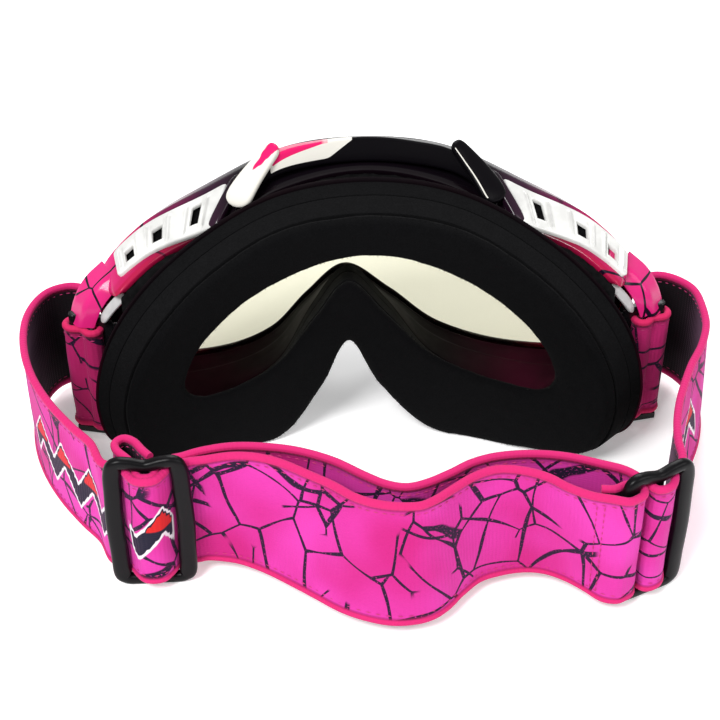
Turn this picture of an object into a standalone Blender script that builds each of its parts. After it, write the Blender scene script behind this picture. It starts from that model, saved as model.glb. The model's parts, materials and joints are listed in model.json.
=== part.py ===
"""Sports protective goggles: moulded frame, lens, vent grilles, brow guard, three-layer face foam,
vent foam, hinged strap arms, and an elastic strap in two lengths joined by two sliders.

Outlines are drawn in millimetres and scaled by MM. X is the wearer's width, +Y points out through
the lens, +Z is up, and z = 0 is the surface that the foam and the sliders stand on.
"""
import math

import bmesh
import bpy
import numpy as np
from mathutils import Matrix, Vector

MM = 0.001

# driving dimensions, in millimetres
FACE_DEPTH = 8.0        # where the face foam touches the forehead, on the centre line
FACE_BEND = 190.0       # the face surface falls back by x * x / FACE_BEND
FOAM_THICK = (6.0, 8.0, 4.4)    # base, core and fleece layers, from the frame to the face
LAYER_GAP = 0.4
LENS_DEPTH = 54.0       # front of the lens, on the centre line
LENS_BEND = 220.0
LENS_THICK = 1.4
LENS_GRIP = 2.3         # how far the lens reaches into its groove
GROOVE_PLAY = 0.5
INNER_WALL = 2.0
FLANGE_THICK = 1.8
NOSE_X = -6.0           # the soft nose arch leans to one side
STRAP_WIDTH = 38.0
STRAP_THICK = 1.4
STRAP_LOW = 3.5         # height of the strap's lower edge
SLIDER_WIDTH = 23.0
SLIDER_HEIGHT = 45.0
SLIDER_THICK = 3.0
SLIDER_BAR = 4.2
SLIDER_EDGE = 3.1       # height of the slider's top and bottom bars
CENTRE_BAR = 2.4
SLIDER_LEFT = (-62.5, -57.5, 2.0)       # x, y and turn about Z in degrees
SLIDER_RIGHT = (74.0, -66.5, 25.0)
SHELL_WALL = 2.0
GRILLE_THICK = 1.4
FIT_GAP = 0.35          # clearance between neighbouring pieces
POST = (89.5, 13.0)     # the strap arm's upright bar, in plan
POST_RADIUS = 1.6
PIVOT = (70.5, 8.8)     # the strap arm's hinge pin, in plan
PIN_RADIUS = 1.2
PIN_PLAY = 0.15
BARREL_RADIUS = 2.8
ARM_LOW, ARM_HIGH = 8.2, 43.8   # the arm's barrel stands between two lugs of the frame
ARM_THICK = 2.4
LUG_HIGH = 2.8
LUG_WIDE = 6.4
LENS_PIN = (66.0, 44.0)     # x and z of the tear-off post on the lens
LENS_PIN_HIGH = 3.0
CENTRE_BACK = 10.7      # shifts the drawing so that the origin is under the middle of the box

STEPS_PER_SPAN = 4      # stations between two control points of an outline

# half outlines, (x, z), from the top centre round the cheek to the nose apex
FACE_OUTLINE = [(0, 77), (25, 74.5), (45, 65), (59, 53), (68, 39), (70.5, 23),
                (65, 6), (46, 0.6), (24, 1.2), (9, 18), (0, 35)]
BASE_OUTLINE = [(0, 80), (27, 77.5), (49, 69), (67, 57), (78, 42), (81.5, 23),
                (76, 6), (55, 0.6), (27, 1.2), (12.5, 11), (0, 26)]
OPENING = [(0, 65), (18, 62), (35, 55), (47, 46), (53.5, 37), (55, 29),
           (49, 24.6), (36, 25.4), (23, 31), (11, 44), (0, 56)]
INNER_BACK = [(0, 68), (19, 65), (37, 57.5), (50, 48), (57, 38), (60, 25),
              (54, 11.5), (37, 12.5), (23.5, 19.5), (11.5, 38), (0, 51)]
LENS_EDGE = [(0, 78), (24, 76.2), (46, 68.8), (63, 58.5), (73, 45), (74.5, 28),
             (66, 14), (46, 8.5), (28, 12), (14, 24), (0, 34)]
RIM = [(0, 81.2), (25, 79.6), (49, 71.6), (70, 64.6), (82.5, 51), (80, 28),
       (71, 8.5), (47, 2.6), (24, 5.5), (11, 17), (0, 27.5)]
SHELL_BACK = [(0, 78.2), (26, 74.2), (47, 65.5), (66, 61), (79.5, 48), (77, 26),
              (69, 7.5), (50, 1.8), (26, 3.4), (13, 13), (0, 26)]


def face_y(x, z):
    """The surface that the foam presents to the face."""
    return FACE_DEPTH - x * x / FACE_BEND


def lens_y(x, z):
    return LENS_DEPTH - x * x / LENS_BEND


def flange_y(x, z):
    """The frame's rear face, which the foam is glued to."""
    return face_y(x, z) + sum(FOAM_THICK) + LAYER_GAP * 3


def rim_y(x, z):
    return lens_y(x, z) - 3.0


def shell_y(x, z):
    """The shell's rear edge, which stands further forward beside the strap arms."""
    beside_arm = np.clip((x * x - 66.0 ** 2) / 1400.0, 0, 1) * np.clip((55.0 - z) / 6.0, 0, 1)
    return 38.0 - x * x / 170.0 + 16.5 * beside_arm


def ahead(depth, by):
    """The same surface, moved towards the lens."""
    return lambda x, z: depth(x, z) + by


def smooth(points, per, closed=False):
    """Points on a Catmull-Rom curve through the given points, per of them for each span."""
    p = np.asarray(points, float)
    if closed:
        p = np.vstack([p[-1:], p, p[:2]])
    else:
        p = np.vstack([2 * p[0] - p[1], p, 2 * p[-1] - p[-2]])
    t = (np.arange(per) / per)[:, None]
    spans = []
    for a, b, c, d in zip(p, p[1:], p[2:], p[3:]):
        spans.append(0.5 * (2 * b + (c - a) * t + (2 * a - 5 * b + 4 * c - d) * t ** 2
                            + (3 * b - a - 3 * c + d) * t ** 3))
    if not closed:
        spans.append(p[-2:-1])
    return np.vstack(spans)


def whole(half, per=STEPS_PER_SPAN):
    """The closed outline of a half outline, with its nose arch moved over by NOSE_X."""
    half = np.asarray(half, float)
    other = half[1:-1][::-1] * (-1, 1)
    loop = smooth(np.vstack([half, other]), per, closed=True)
    station = np.arange(len(loop)) / per
    below = np.clip((np.minimum(station, 2 * len(half) - 2 - station) - 5.5) / 1.5, 0, 1)
    near_nose = np.exp(-(loop[:, 0] / 34.0) ** 2) * below
    loop[:, 0] += NOSE_X * near_nose
    loop[:, 1] = np.maximum(loop[:, 1], 0.0)
    return loop


def at_depth(outline, depth):
    """Outline (x, z) laid on the surface y = depth(x, z)."""
    x, z = outline[:, 0], outline[:, 1]
    return np.column_stack([x, depth(x, z), z])


def grown(outline, by):
    """The outline moved outwards by a distance, along its own normals."""
    along = np.roll(outline, -1, 0) - np.roll(outline, 1, 0)
    normal = np.column_stack([-along[:, 1], along[:, 0]])
    normal /= np.linalg.norm(normal, axis=1)[:, None]
    return outline + by * normal


def material(name, colour, roughness, metallic=0.0, alpha=1.0):
    mat = bpy.data.materials.new(name)
    mat.use_nodes = True
    shader = mat.node_tree.nodes["Principled BSDF"]
    shader.inputs["Base Color"].default_value = (*colour, 1.0)
    shader.inputs["Roughness"].default_value = roughness
    shader.inputs["Metallic"].default_value = metallic
    shader.inputs["Alpha"].default_value = alpha
    return mat


def new_object(name, mesh, mat=None, group=None):
    obj = bpy.data.objects.new(name, mesh)
    (group or parts).objects.link(obj)
    if mat:
        mesh.materials.append(mat)
    return obj


def mesh_from(name, points, faces):
    """A mesh from points in millimetres in the drawing's frame, with its normals facing out."""
    moved = (np.asarray(points, float) + (0, CENTRE_BACK, 0)) * MM
    mesh = bpy.data.meshes.new(name)
    mesh.from_pydata([tuple(p) for p in moved], [], faces)
    bm = bmesh.new()
    bm.from_mesh(mesh)
    bmesh.ops.recalc_face_normals(bm, faces=bm.faces)
    bm.to_mesh(mesh)
    bm.free()
    return mesh


def ring(name, loops, mat):
    """A closed ring whose cross-section at each station is the polygon through the loops."""
    points = np.vstack(loops)
    n, k = len(loops[0]), len(loops)
    faces = []
    for a in range(k):
        low, high = sorted((a, (a + 1) % k))
        for i in range(n):
            j = (i + 1) % n
            faces.append((low * n + i, low * n + j, high * n + j))
            faces.append((low * n + i, high * n + j, high * n + i))
    return new_object(name, mesh_from(name, points, faces), mat)


def bar(name, rails, mat, group=None):
    """A closed bar whose cross-section is the polygon through the rails, with flat ends."""
    points = np.vstack(rails)
    n, k = len(rails[0]), len(rails)
    faces = []
    for a in range(k):
        b = (a + 1) % k
        for i in range(n - 1):
            faces.append((a * n + i, a * n + i + 1, b * n + i + 1, b * n + i))
    faces.append([a * n for a in range(k)])
    faces.append([a * n + n - 1 for a in range(k)])
    return new_object(name, mesh_from(name, points, faces), mat, group)


def sheet(name, grid, thick, mat, group=None, offset=0.0):
    """A sheet over a grid of points, given its thickness by a Solidify modifier."""
    rows, cols = grid.shape[:2]
    faces = [(r * cols + c, r * cols + c + 1, (r + 1) * cols + c + 1, (r + 1) * cols + c)
             for r in range(rows - 1) for c in range(cols - 1)]
    obj = new_object(name, mesh_from(name, grid.reshape(-1, 3), faces), mat, group)
    wall = obj.modifiers.new("thickness", "SOLIDIFY")
    wall.thickness = thick * MM
    wall.offset = offset
    wall.use_even_offset = True
    return obj


def cut(obj, cutter):
    hole = obj.modifiers.new("cut " + cutter.name, "BOOLEAN")
    hole.operation = "DIFFERENCE"
    hole.object = cutter
    hole.solver = "EXACT"
    cutter.hide_render = True
    cutter.display_type = "WIRE"


def flipped(points):
    """The points mirrored to the wearer's other side."""
    return np.asarray(points, float) * (-1, 1, 1)


def make_foam():
    """Three laminated rings: base, core and the fleece layer that touches the face."""
    names = ("foam_base", "foam_core", "foam_fleece")
    mats = (material("foam_charcoal", (0.02, 0.02, 0.02), 0.95),
            material("foam_black", (0.012, 0.012, 0.013), 0.95),
            material("fleece_black", (0.008, 0.008, 0.009), 1.0))
    base, face = whole(BASE_OUTLINE), whole(FACE_OUTLINE)
    opening, inner = whole(OPENING), whole(INNER_BACK)
    total = sum(FOAM_THICK) + LAYER_GAP * 2
    front = total       # distance in front of the face surface, shrinking towards the face
    for name, thick, mat in zip(names, FOAM_THICK, mats):
        back = front - thick
        outer_front = at_depth(face + (base - face) * front / total, ahead(face_y, front))
        hole_front = at_depth(opening + (inner - opening) * front / total, ahead(face_y, front))
        hole = opening + (inner - opening) * back / total
        outer_back = face + (base - face) * back / total
        if name == "foam_fleece":       # its corners are rounded off
            edge = thick / 3
            section = [outer_front,
                       at_depth(outer_back, ahead(face_y, back + edge)),
                       at_depth(grown(outer_back, -edge), ahead(face_y, back)),
                       at_depth(grown(hole, edge), ahead(face_y, back)),
                       at_depth(hole, ahead(face_y, back + edge)),
                       hole_front]
        else:
            section = [outer_front,
                       at_depth(outer_back, ahead(face_y, back)),
                       at_depth(hole, ahead(face_y, back)),
                       hole_front]
        ring(name, section, mat)
        front = back - LAYER_GAP


def make_frame(mat):
    """The moulded frame: lens groove, outer shell, vent channel, inner wall and foam flange."""
    lens, rim, shell = whole(LENS_EDGE), whole(RIM), whole(SHELL_BACK)
    inner, flange = whole(INNER_BACK), grown(whole(BASE_OUTLINE), 0.8)
    flange[:, 1] = np.maximum(flange[:, 1], 0.0)
    mid = inner + (lens - inner) * 0.45
    groove = grown(lens, LENS_GRIP + GROOVE_PLAY)
    under_rim = 0.3     # where the channel's roof ends, from the rim to the shell's rear edge
    roof = grown(rim + (shell - rim) * under_rim, -SHELL_WALL)
    lens_back = -LENS_THICK - GROOVE_PLAY
    section = [
        at_depth(lens, ahead(lens_y, 2.0)),
        at_depth(lens + (rim - lens) * 0.7, ahead(lens_y, 2.4)),
        at_depth(rim, rim_y),
        at_depth(shell, shell_y),
        at_depth(grown(shell, -SHELL_WALL), shell_y),
        at_depth(roof, lambda x, z: rim_y(x, z) + (shell_y(x, z) - rim_y(x, z)) * under_rim),
        at_depth(grown(mid, INNER_WALL), ahead(flange_y, 10.0)),
        at_depth(grown(inner, INNER_WALL), ahead(flange_y, FLANGE_THICK)),
        at_depth(flange, ahead(flange_y, FLANGE_THICK)),
        at_depth(flange, flange_y),
        at_depth(inner, flange_y),
        at_depth(mid, ahead(flange_y, 10.0)),
        at_depth(lens, ahead(lens_y, lens_back - 2.0)),
        at_depth(lens, ahead(lens_y, lens_back)),
        at_depth(groove, ahead(lens_y, lens_back)),
        at_depth(groove, ahead(lens_y, GROOVE_PLAY)),
        at_depth(lens, ahead(lens_y, GROOVE_PLAY)),
    ]
    frame = ring("frame", section, mat)
    lug_x, lug_y = PIVOT
    rear = flange_y(lug_x - LUG_WIDE / 2, 0) + FIT_GAP
    front = lug_y + PIN_RADIUS + 1.8
    for side in (-1, 1):
        for low in (ARM_LOW - FIT_GAP - LUG_HIGH, ARM_HIGH + FIT_GAP):
            lug = block("lug", (side * lug_x, (rear + front) / 2, low + LUG_HIGH / 2),
                        (LUG_WIDE, front - rear, LUG_HIGH))
            join(frame, lug)
            hole = upright("lug hole", (side * lug_x, lug_y), low - 1, low + LUG_HIGH + 1,
                           PIN_RADIUS + PIN_PLAY, None, cutters)
            cut(frame, hole)
    return frame


def make_lens(mat):
    """A clear sheet bent round the face: a flat outline, split into strips and then curved."""
    outline = grown(whole(LENS_EDGE), LENS_GRIP)
    bm = bmesh.new()
    bm.faces.new([bm.verts.new((x, 0.0, z)) for x, z in outline])
    for x in np.linspace(-72, 72, 25):
        geom = bm.verts[:] + bm.edges[:] + bm.faces[:]
        bmesh.ops.bisect_plane(bm, geom=geom, plane_co=(x, 0, 0), plane_no=(1, 0, 0))
    for v in bm.verts:
        v.co.y = lens_y(v.co.x, v.co.z) - LENS_THICK / 2 + CENTRE_BACK
        v.co *= MM
    mesh = bpy.data.meshes.new("lens")
    bm.to_mesh(mesh)
    bm.free()
    obj = new_object("lens", mesh, mat)
    wall = obj.modifiers.new("thickness", "SOLIDIFY")
    wall.thickness = LENS_THICK * MM
    wall.offset = 0.0
    return obj


def shell_patch(start, end, front, back, lift, rows=13, cols=7):
    """A grid over the shell's outer face, lifted off it: start and end count outline points,
    front and back are shares of the way from the rim to the shell's rear edge at the two ends."""
    per = 24
    a = at_depth(whole(RIM, per), rim_y)
    b = at_depth(whole(SHELL_BACK, per), shell_y)
    station = np.round(np.linspace(start, end, rows) * per).astype(int)
    along = np.linspace(0, 1, rows)
    low = front[0] + (front[1] - front[0]) * along
    high = back[0] + (back[1] - back[0]) * along
    share = low[:, None] + (high - low)[:, None] * np.linspace(0, 1, cols)
    grid = a[station][:, None] + (b - a)[station][:, None] * share[..., None]
    normal = np.cross(np.gradient(grid, axis=0), np.gradient(grid, axis=1))
    normal /= np.linalg.norm(normal, axis=2)[..., None]
    return grid - lift * normal, -normal


def make_grille(side, mat, frame):
    """A white vent insert with three slots, over a window in the shell."""
    name = "vent_grille_" + ("left" if side < 0 else "right")
    turn = (side, 1, 1)
    plate, normal = shell_patch(1.72, 3.3, (0.1, 0.16), (0.9, 0.72), FIT_GAP + GRILLE_THICK / 2)
    window, _ = shell_patch(1.9, 3.12, (0.28, 0.3), (0.74, 0.6), 0.0)
    grille = sheet(name, plate * turn, GRILLE_THICK, mat)
    cut(frame, sheet("window", window * turn, 7.0, None, cutters))
    for place, length, width in ((0.2, 9.0, 3.6), (0.51, 7.0, 3.8), (0.79, 4.6, 4.0)):
        row = round(place * (len(plate) - 1))
        centre, up = plate[row, 3] * turn, normal[row, 3] * turn
        along = (plate[row, 6] - plate[row, 0]) * turn
        across = np.cross(up, along)
        basis = Matrix([Vector(v).normalized() for v in (across, along, up)]).transposed()
        slot = block("slot", centre, (width, length, 6.0), cutters, basis)
        cut(grille, slot)


def vent_strip(name, start, end, mat):
    """Filter foam lying in the frame's vent channel, between two outline points."""
    lens, shell, inner = whole(LENS_EDGE), whole(SHELL_BACK), whole(INNER_BACK)
    base = whole(BASE_OUTLINE)
    mid = inner + (lens - inner) * 0.45
    clear = INNER_WALL + FIT_GAP + 0.2
    rails = [at_depth(grown(base, -0.6), ahead(flange_y, FLANGE_THICK + FIT_GAP)),
             at_depth(grown(shell, -0.8), ahead(shell_y, -FIT_GAP)),
             at_depth(grown(mid, clear), ahead(shell_y, -FIT_GAP)),
             at_depth(grown(inner, clear), ahead(flange_y, FLANGE_THICK + FIT_GAP))]
    count = len(base)
    first, last = round(start * STEPS_PER_SPAN), round(end * STEPS_PER_SPAN)
    pick = np.arange(first, last + 1) % count
    bar(name, [rail[pick] for rail in rails], mat)


def make_brow(mat):
    """The raised guard over the brow: a wedge on the rim whose ends run down as two fins."""
    back_low = [(43, 24, 69.5), (36, 31, 74.2), (27, 35.5, 77.6), (14, 38.5, 79.4), (0, 39.5, 80)]
    top = [(44, 25, 73), (37, 32, 79), (27.5, 37.3, 83.8), (14, 40.2, 86), (0, 41.5, 87.2)]
    front = [(46, 37, 74.8), (38, 43.5, 78), (27, 48.7, 80.8), (14, 51.4, 82.2), (0, 52.4, 82.6)]
    under = [(45, 36, 73.6), (37, 42.5, 77), (27, 47, 80), (14, 49.9, 81.3), (0, 50.8, 81.8)]
    rails = []
    for half in (back_low, top, front, under):
        rails.append(smooth(np.vstack([half, flipped(half[:-1])[::-1]]), 3))
    bar("brow_guard", rails, mat)


def slider_point(slider, u, v):
    """Plan position in a slider: u along its width, v outwards, away from the head."""
    x, y, turn = slider
    c, s = math.cos(math.radians(turn)), math.sin(math.radians(turn))
    return x + u * c + v * s, y + u * s - v * c


def strap(name, plan, mat, per=4):
    """A strap standing on edge along a smooth plan path."""
    path = smooth(plan, per)
    low = np.column_stack([path, np.full(len(path), STRAP_LOW)])
    high = low + (0, 0, STRAP_WIDTH)
    return sheet(name, np.stack([low, high], axis=1), STRAP_THICK, mat)


def make_straps(mat):
    """Each strap runs from its arm, through the near slider, to a sewn loop on the far one."""
    from_post = [(86.4, 15.8), (85.8, 22), (86.4, 28.5), (89.4, 33), (94, 34.2)]
    left_side = [(99.5, 31.5), (103.0, 25.5), (104.7, 17), (104.3, 7), (101.8, -5), (97.5, -16.5),
                 (91.5, -27.5), (84.5, -37.5), (78.5, -45)]
    through = [(-12.5, -5.4), (-9.4, -3.1), (-7.4, -2.7), (-5.9, -0.9), (-4.3, 1.7),
               (-2.5, 3.8), (0, 4.4), (2.5, 3.8), (4.3, 1.7), (5.9, -0.9), (7.4, -2.7),
               (9.4, -3.1), (12.5, -3.6)]
    outer = [(-47, -53), (-40, -53), (-34, -54.5), (-28, -57.5), (-21, -62.5), (-15, -67),
             (-9, -72), (-3, -75.2), (4, -77), (11, -76.5), (16, -73.5), (21, -68.5),
             (27, -63.3), (33, -61), (40, -61), (46, -62.8), (51, -66.3), (56, -70)]
    sewn = [(-14.6, 0.4), (-11.6, 3.0), (-9, 3.1), (-6.7, 2.6), (-5.4, 1.0), (-5.4, -1.0),
            (-6.7, -2.6), (-9, -3.0), (-12, -2.9), (-15.2, -4.6)]
    plan = [(-x, y) for x, y in from_post + left_side]
    plan += [slider_point(SLIDER_LEFT, u, v) for u, v in through]
    plan += outer + [slider_point(SLIDER_RIGHT, u, v) for u, v in sewn]
    strap("strap_left", plan, mat)

    right_side = [(99, 31.5), (103.0, 25.5), (104.7, 17), (103.7, 6), (100.4, -5), (95.7, -15),
                  (91.5, -23.5), (87.5, -32), (84.2, -41), (82.8, -49.5)]
    through = [(12.2, -5.9), (9.4, -3.1), (7.4, -2.7), (5.9, -0.9), (4.4, 1.2), (2.4, 2.8),
               (0, 3.2), (-1.9, 2.5), (-2.7, 0.6), (-3.1, -2.4)]
    inner = [(66, -61.3), (60, -58.5), (51, -56), (42, -55), (33, -55.6), (26, -58), (20, -62),
             (13, -66), (7, -67.6), (1, -66), (-5, -62), (-13, -55.8), (-22, -51), (-31, -48.5),
             (-40, -47.6), (-48, -49.3)]
    sewn = [(9.5, -5.7), (5.5, -4.6), (3.0, -2.2), (2.55, 0.3), (2.2, 1.75), (1.1, 2.6),
            (-1.1, 2.6), (-2.2, 1.75), (-2.55, 0.3), (-3.0, -2.4), (-5.2, -5.8), (-8.2, -9.6),
            (-8.8, -12.6), (-6.6, -14.6), (-3.7, -13.0), (-1.4, -9.4), (1.0, -6.2)]
    plan = from_post + right_side + [slider_point(SLIDER_RIGHT, u, v) for u, v in through]
    plan += inner + [slider_point(SLIDER_LEFT, u, v) for u, v in sewn]
    strap("strap_right", plan, mat)


def make_strap_end(side, mat):
    """The strap's sewn end: one pocket round the arm's post and one beside it."""
    (px, py), pocket = POST, (83.8, 9.8)
    away = math.atan2(py - pocket[1], px - pocket[0])
    round_post = [arc_point(POST, 2.75, away + turn)
                  for turn in np.radians((125, 85, 40, 0, -40, -85, -125))]
    round_rod = [arc_point(pocket, 2.4, away + turn)
                 for turn in np.radians((-55, -95, -140, 180, 140, 95, 60))]
    waist = [(86.9, 9.9)]
    plan = np.array(round_post + waist + round_rod) * (side, 1)
    strap("strap_end_" + ("left" if side < 0 else "right"), plan, mat, per=3)


def arc_point(centre, radius, angle):
    return centre[0] + radius * math.cos(angle), centre[1] + radius * math.sin(angle)


def block(name, centre, size, group=None, basis=None):
    """A box, used to cut or to build up another piece."""
    bm = bmesh.new()
    bmesh.ops.create_cube(bm, size=1.0)
    for v in bm.verts:
        v.co = Vector([c * s * MM for c, s in zip(v.co, size)])
    mesh = bpy.data.meshes.new(name)
    bm.to_mesh(mesh)
    bm.free()
    obj = new_object(name, mesh, None, group or cutters)
    x, y, z = centre
    place = Matrix.Translation(Vector((x, y + CENTRE_BACK, z)) * MM)
    obj.matrix_world = place @ (basis.to_4x4() if basis else Matrix())
    return obj


def upright(name, plan, low, high, radius, mat, group=None, sides=24):
    """A vertical round bar."""
    bm = bmesh.new()
    bmesh.ops.create_cone(bm, cap_ends=True, segments=sides, radius1=radius * MM,
                          radius2=radius * MM, depth=(high - low) * MM)
    mesh = bpy.data.meshes.new(name)
    bm.to_mesh(mesh)
    bm.free()
    obj = new_object(name, mesh, mat, group)
    obj.location = Vector((plan[0], plan[1] + CENTRE_BACK, (low + high) / 2)) * MM
    return obj


def join(obj, piece):
    both = obj.modifiers.new("join " + piece.name, "BOOLEAN")
    both.operation = "UNION"
    both.object = piece
    both.solver = "EXACT"
    piece.hide_render = True
    piece.display_type = "WIRE"


def make_arm(side, mat, pin_mat):
    """A hinged arm: barrel, plate with a window for the strap, and the post it wraps round."""
    word = "left" if side < 0 else "right"
    pivot, post = (side * PIVOT[0], PIVOT[1]), (side * POST[0], POST[1])
    reach = Vector((post[0] - pivot[0], post[1] - pivot[1]))
    turn = Matrix.Rotation(math.atan2(reach.y, reach.x), 3, "Z")

    def on_arm(share):
        return pivot[0] + reach.x * share, pivot[1] + reach.y * share

    arm = upright("strap_arm_" + word, pivot, ARM_LOW, ARM_HIGH, BARREL_RADIUS, mat)
    # share of the reach at the middle, length, lowest, highest, thickness
    webs = ((0.224, 8.7, ARM_LOW + 0.6, ARM_HIGH - 0.6, ARM_THICK),     # plate by the barrel
            (0.43, 2.3, 0.7, 45.0, ARM_THICK + 0.3),       # upright beside the window
            (0.605, 6.2, 42.5, 45.6, ARM_THICK - 0.2),      # link over the window
            (0.92, 9.4, 42.2, 49.0, 6.4),                   # block over the post
            (0.79, 13.0, 0.4, 2.9, 5.0))                    # sill under the window
    for share, length, low, high, thick in webs:
        x, y = on_arm(share)
        join(arm, block("web", (x, y, (low + high) / 2), (length, thick, high - low), None, turn))
    join(arm, upright("post", post, 1.0, 46.0, POST_RADIUS, None, cutters))
    cut(arm, upright("barrel bore", pivot, 0.0, 60.0, PIN_RADIUS + PIN_PLAY, None, cutters))
    upright("arm_pin_" + word, pivot, ARM_LOW - LUG_HIGH, ARM_HIGH + LUG_HIGH, PIN_RADIUS, pin_mat)


def make_slider(name, slider, mat):
    """A flat buckle with bowed side bars, a centre bar and two slots."""
    half_w, high = SLIDER_WIDTH / 2, SLIDER_HEIGHT
    side = [(half_w - 1.6, 0.6), (half_w - 0.3, 8), (half_w + 0.5, high / 2),
            (half_w - 0.3, high - 8), (half_w - 1.8, high - 1)]
    outline = smooth(side, 4)
    outline = np.vstack([[(0, 0.0), (half_w - 3, 0.0)], outline,
                         [(half_w - 4, high), (0, high - 0.9)]])
    outline = np.vstack([outline, outline[1:-1][::-1] * (-1, 1)])
    left, right = -half_w + SLIDER_BAR, -CENTRE_BAR / 2
    low, top = SLIDER_EDGE, high - SLIDER_EDGE
    slot = np.array([(left, low), (right, low), (right, top), (left, top)])
    curve = bpy.data.curves.new(name, "CURVE")
    curve.dimensions = "2D"
    curve.fill_mode = "BOTH"
    curve.extrude = SLIDER_THICK / 2 * MM
    for loop in (outline, slot, slot * (-1, 1)):
        line = curve.splines.new("POLY")
        line.points.add(len(loop) - 1)
        line.use_cyclic_u = True
        for point, (u, z) in zip(line.points, loop):
            point.co = (u * MM, z * MM, 0, 1)
    obj = new_object(name, curve)
    curve.materials.append(mat)
    x, y, turn = slider
    obj.location = Vector((x, y + CENTRE_BACK, 0)) * MM
    obj.rotation_euler = (math.radians(90), 0, math.radians(turn))


def make_lens_pin(side, mat):
    """A stepped post on the lens that holds tear-off films."""
    x, z = side * LENS_PIN[0], LENS_PIN[1]
    out = Vector((2 * x / LENS_BEND, 1.0, 0.0)).normalized()
    base = Vector((x, lens_y(x, z), z)) + out * FIT_GAP
    basis = out.to_track_quat("Z", "Y").to_matrix()
    name = "lens_pin_" + ("left" if side < 0 else "right")
    bm = bmesh.new()
    bmesh.ops.create_cone(bm, cap_ends=True, segments=20, radius1=2.0 * MM, radius2=1.3 * MM,
                          depth=LENS_PIN_HIGH * MM)
    mesh = bpy.data.meshes.new(name)
    bm.to_mesh(mesh)
    bm.free()
    obj = new_object(name, mesh, mat)
    centre = (base + out * LENS_PIN_HIGH / 2 + Vector((0, CENTRE_BACK, 0))) * MM
    obj.matrix_world = Matrix.Translation(centre) @ basis.to_4x4()


for obj in list(bpy.data.objects):
    bpy.data.objects.remove(obj)
parts = bpy.data.collections.new("sports_goggles")
cutters = bpy.data.collections.new("cutters")
bpy.context.scene.collection.children.link(parts)
bpy.context.scene.collection.children.link(cutters)

black_plastic = material("black_plastic", (0.015, 0.015, 0.017), 0.35)
white_plastic = material("white_plastic", (0.85, 0.85, 0.83), 0.3)
steel = material("pin_steel", (0.6, 0.6, 0.62), 0.3, metallic=1.0)
strap_pink = material("strap_pink", (0.93, 0.06, 0.45), 0.85)
filter_foam = material("filter_foam", (0.018, 0.018, 0.018), 1.0)

make_foam()
frame = make_frame(material("frame_maroon", (0.12, 0.004, 0.035), 0.2))
make_lens(material("lens_clear", (0.9, 0.92, 0.78), 0.03, alpha=0.25))
make_brow(material("brow_black", (0.02, 0.02, 0.022), 0.25))
vent_strip("vent_foam_top", -1.75, 1.75, filter_foam)
vent_strip("vent_foam_upper_right", 2.0, 3.5, filter_foam)
vent_strip("vent_foam_upper_left", -3.5, -2.0, filter_foam)
vent_strip("vent_foam_lower_right", 6.5, 8.5, filter_foam)
vent_strip("vent_foam_lower_left", -8.5, -6.5, filter_foam)
for side in (-1, 1):
    make_grille(side, white_plastic, frame)
    make_arm(side, white_plastic, steel)
    make_strap_end(side, strap_pink)
    make_lens_pin(side, black_plastic)
make_straps(strap_pink)
make_slider("slider_left", SLIDER_LEFT, black_plastic)
make_slider("slider_right", SLIDER_RIGHT, black_plastic)
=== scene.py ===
import json
import math

import bpy
import numpy as np
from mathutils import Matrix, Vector

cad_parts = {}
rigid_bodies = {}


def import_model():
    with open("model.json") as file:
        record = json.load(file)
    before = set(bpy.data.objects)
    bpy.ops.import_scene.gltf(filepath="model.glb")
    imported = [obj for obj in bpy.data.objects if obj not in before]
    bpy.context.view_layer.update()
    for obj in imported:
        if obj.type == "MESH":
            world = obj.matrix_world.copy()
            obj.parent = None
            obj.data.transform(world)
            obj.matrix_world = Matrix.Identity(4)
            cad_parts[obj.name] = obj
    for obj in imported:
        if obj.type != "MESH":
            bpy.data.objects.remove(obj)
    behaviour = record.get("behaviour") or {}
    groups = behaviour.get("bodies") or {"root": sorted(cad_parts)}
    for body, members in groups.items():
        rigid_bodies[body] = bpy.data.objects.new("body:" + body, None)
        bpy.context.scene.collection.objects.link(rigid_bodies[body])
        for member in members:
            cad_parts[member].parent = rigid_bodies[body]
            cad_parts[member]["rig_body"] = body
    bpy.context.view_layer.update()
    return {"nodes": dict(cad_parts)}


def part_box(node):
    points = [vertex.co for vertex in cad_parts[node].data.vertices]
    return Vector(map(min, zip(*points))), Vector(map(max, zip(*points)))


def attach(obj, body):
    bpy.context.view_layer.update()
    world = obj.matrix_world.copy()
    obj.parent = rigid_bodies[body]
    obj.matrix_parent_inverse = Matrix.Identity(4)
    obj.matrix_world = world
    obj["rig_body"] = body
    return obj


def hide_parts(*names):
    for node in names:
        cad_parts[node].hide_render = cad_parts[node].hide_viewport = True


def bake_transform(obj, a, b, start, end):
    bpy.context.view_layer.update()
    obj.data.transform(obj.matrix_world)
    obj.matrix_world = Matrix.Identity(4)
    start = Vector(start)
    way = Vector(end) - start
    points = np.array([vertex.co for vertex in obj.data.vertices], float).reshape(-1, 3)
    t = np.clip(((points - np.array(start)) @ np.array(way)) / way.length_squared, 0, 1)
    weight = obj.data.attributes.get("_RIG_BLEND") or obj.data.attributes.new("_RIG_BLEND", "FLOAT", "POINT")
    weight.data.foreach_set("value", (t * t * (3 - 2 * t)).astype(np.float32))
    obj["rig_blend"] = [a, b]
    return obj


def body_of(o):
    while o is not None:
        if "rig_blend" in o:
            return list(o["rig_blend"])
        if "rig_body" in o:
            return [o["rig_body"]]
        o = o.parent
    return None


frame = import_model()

mm = 0.001
sides = {"left": -1, "right": 1}                # the wearer's sides and the signs of their x

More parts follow.
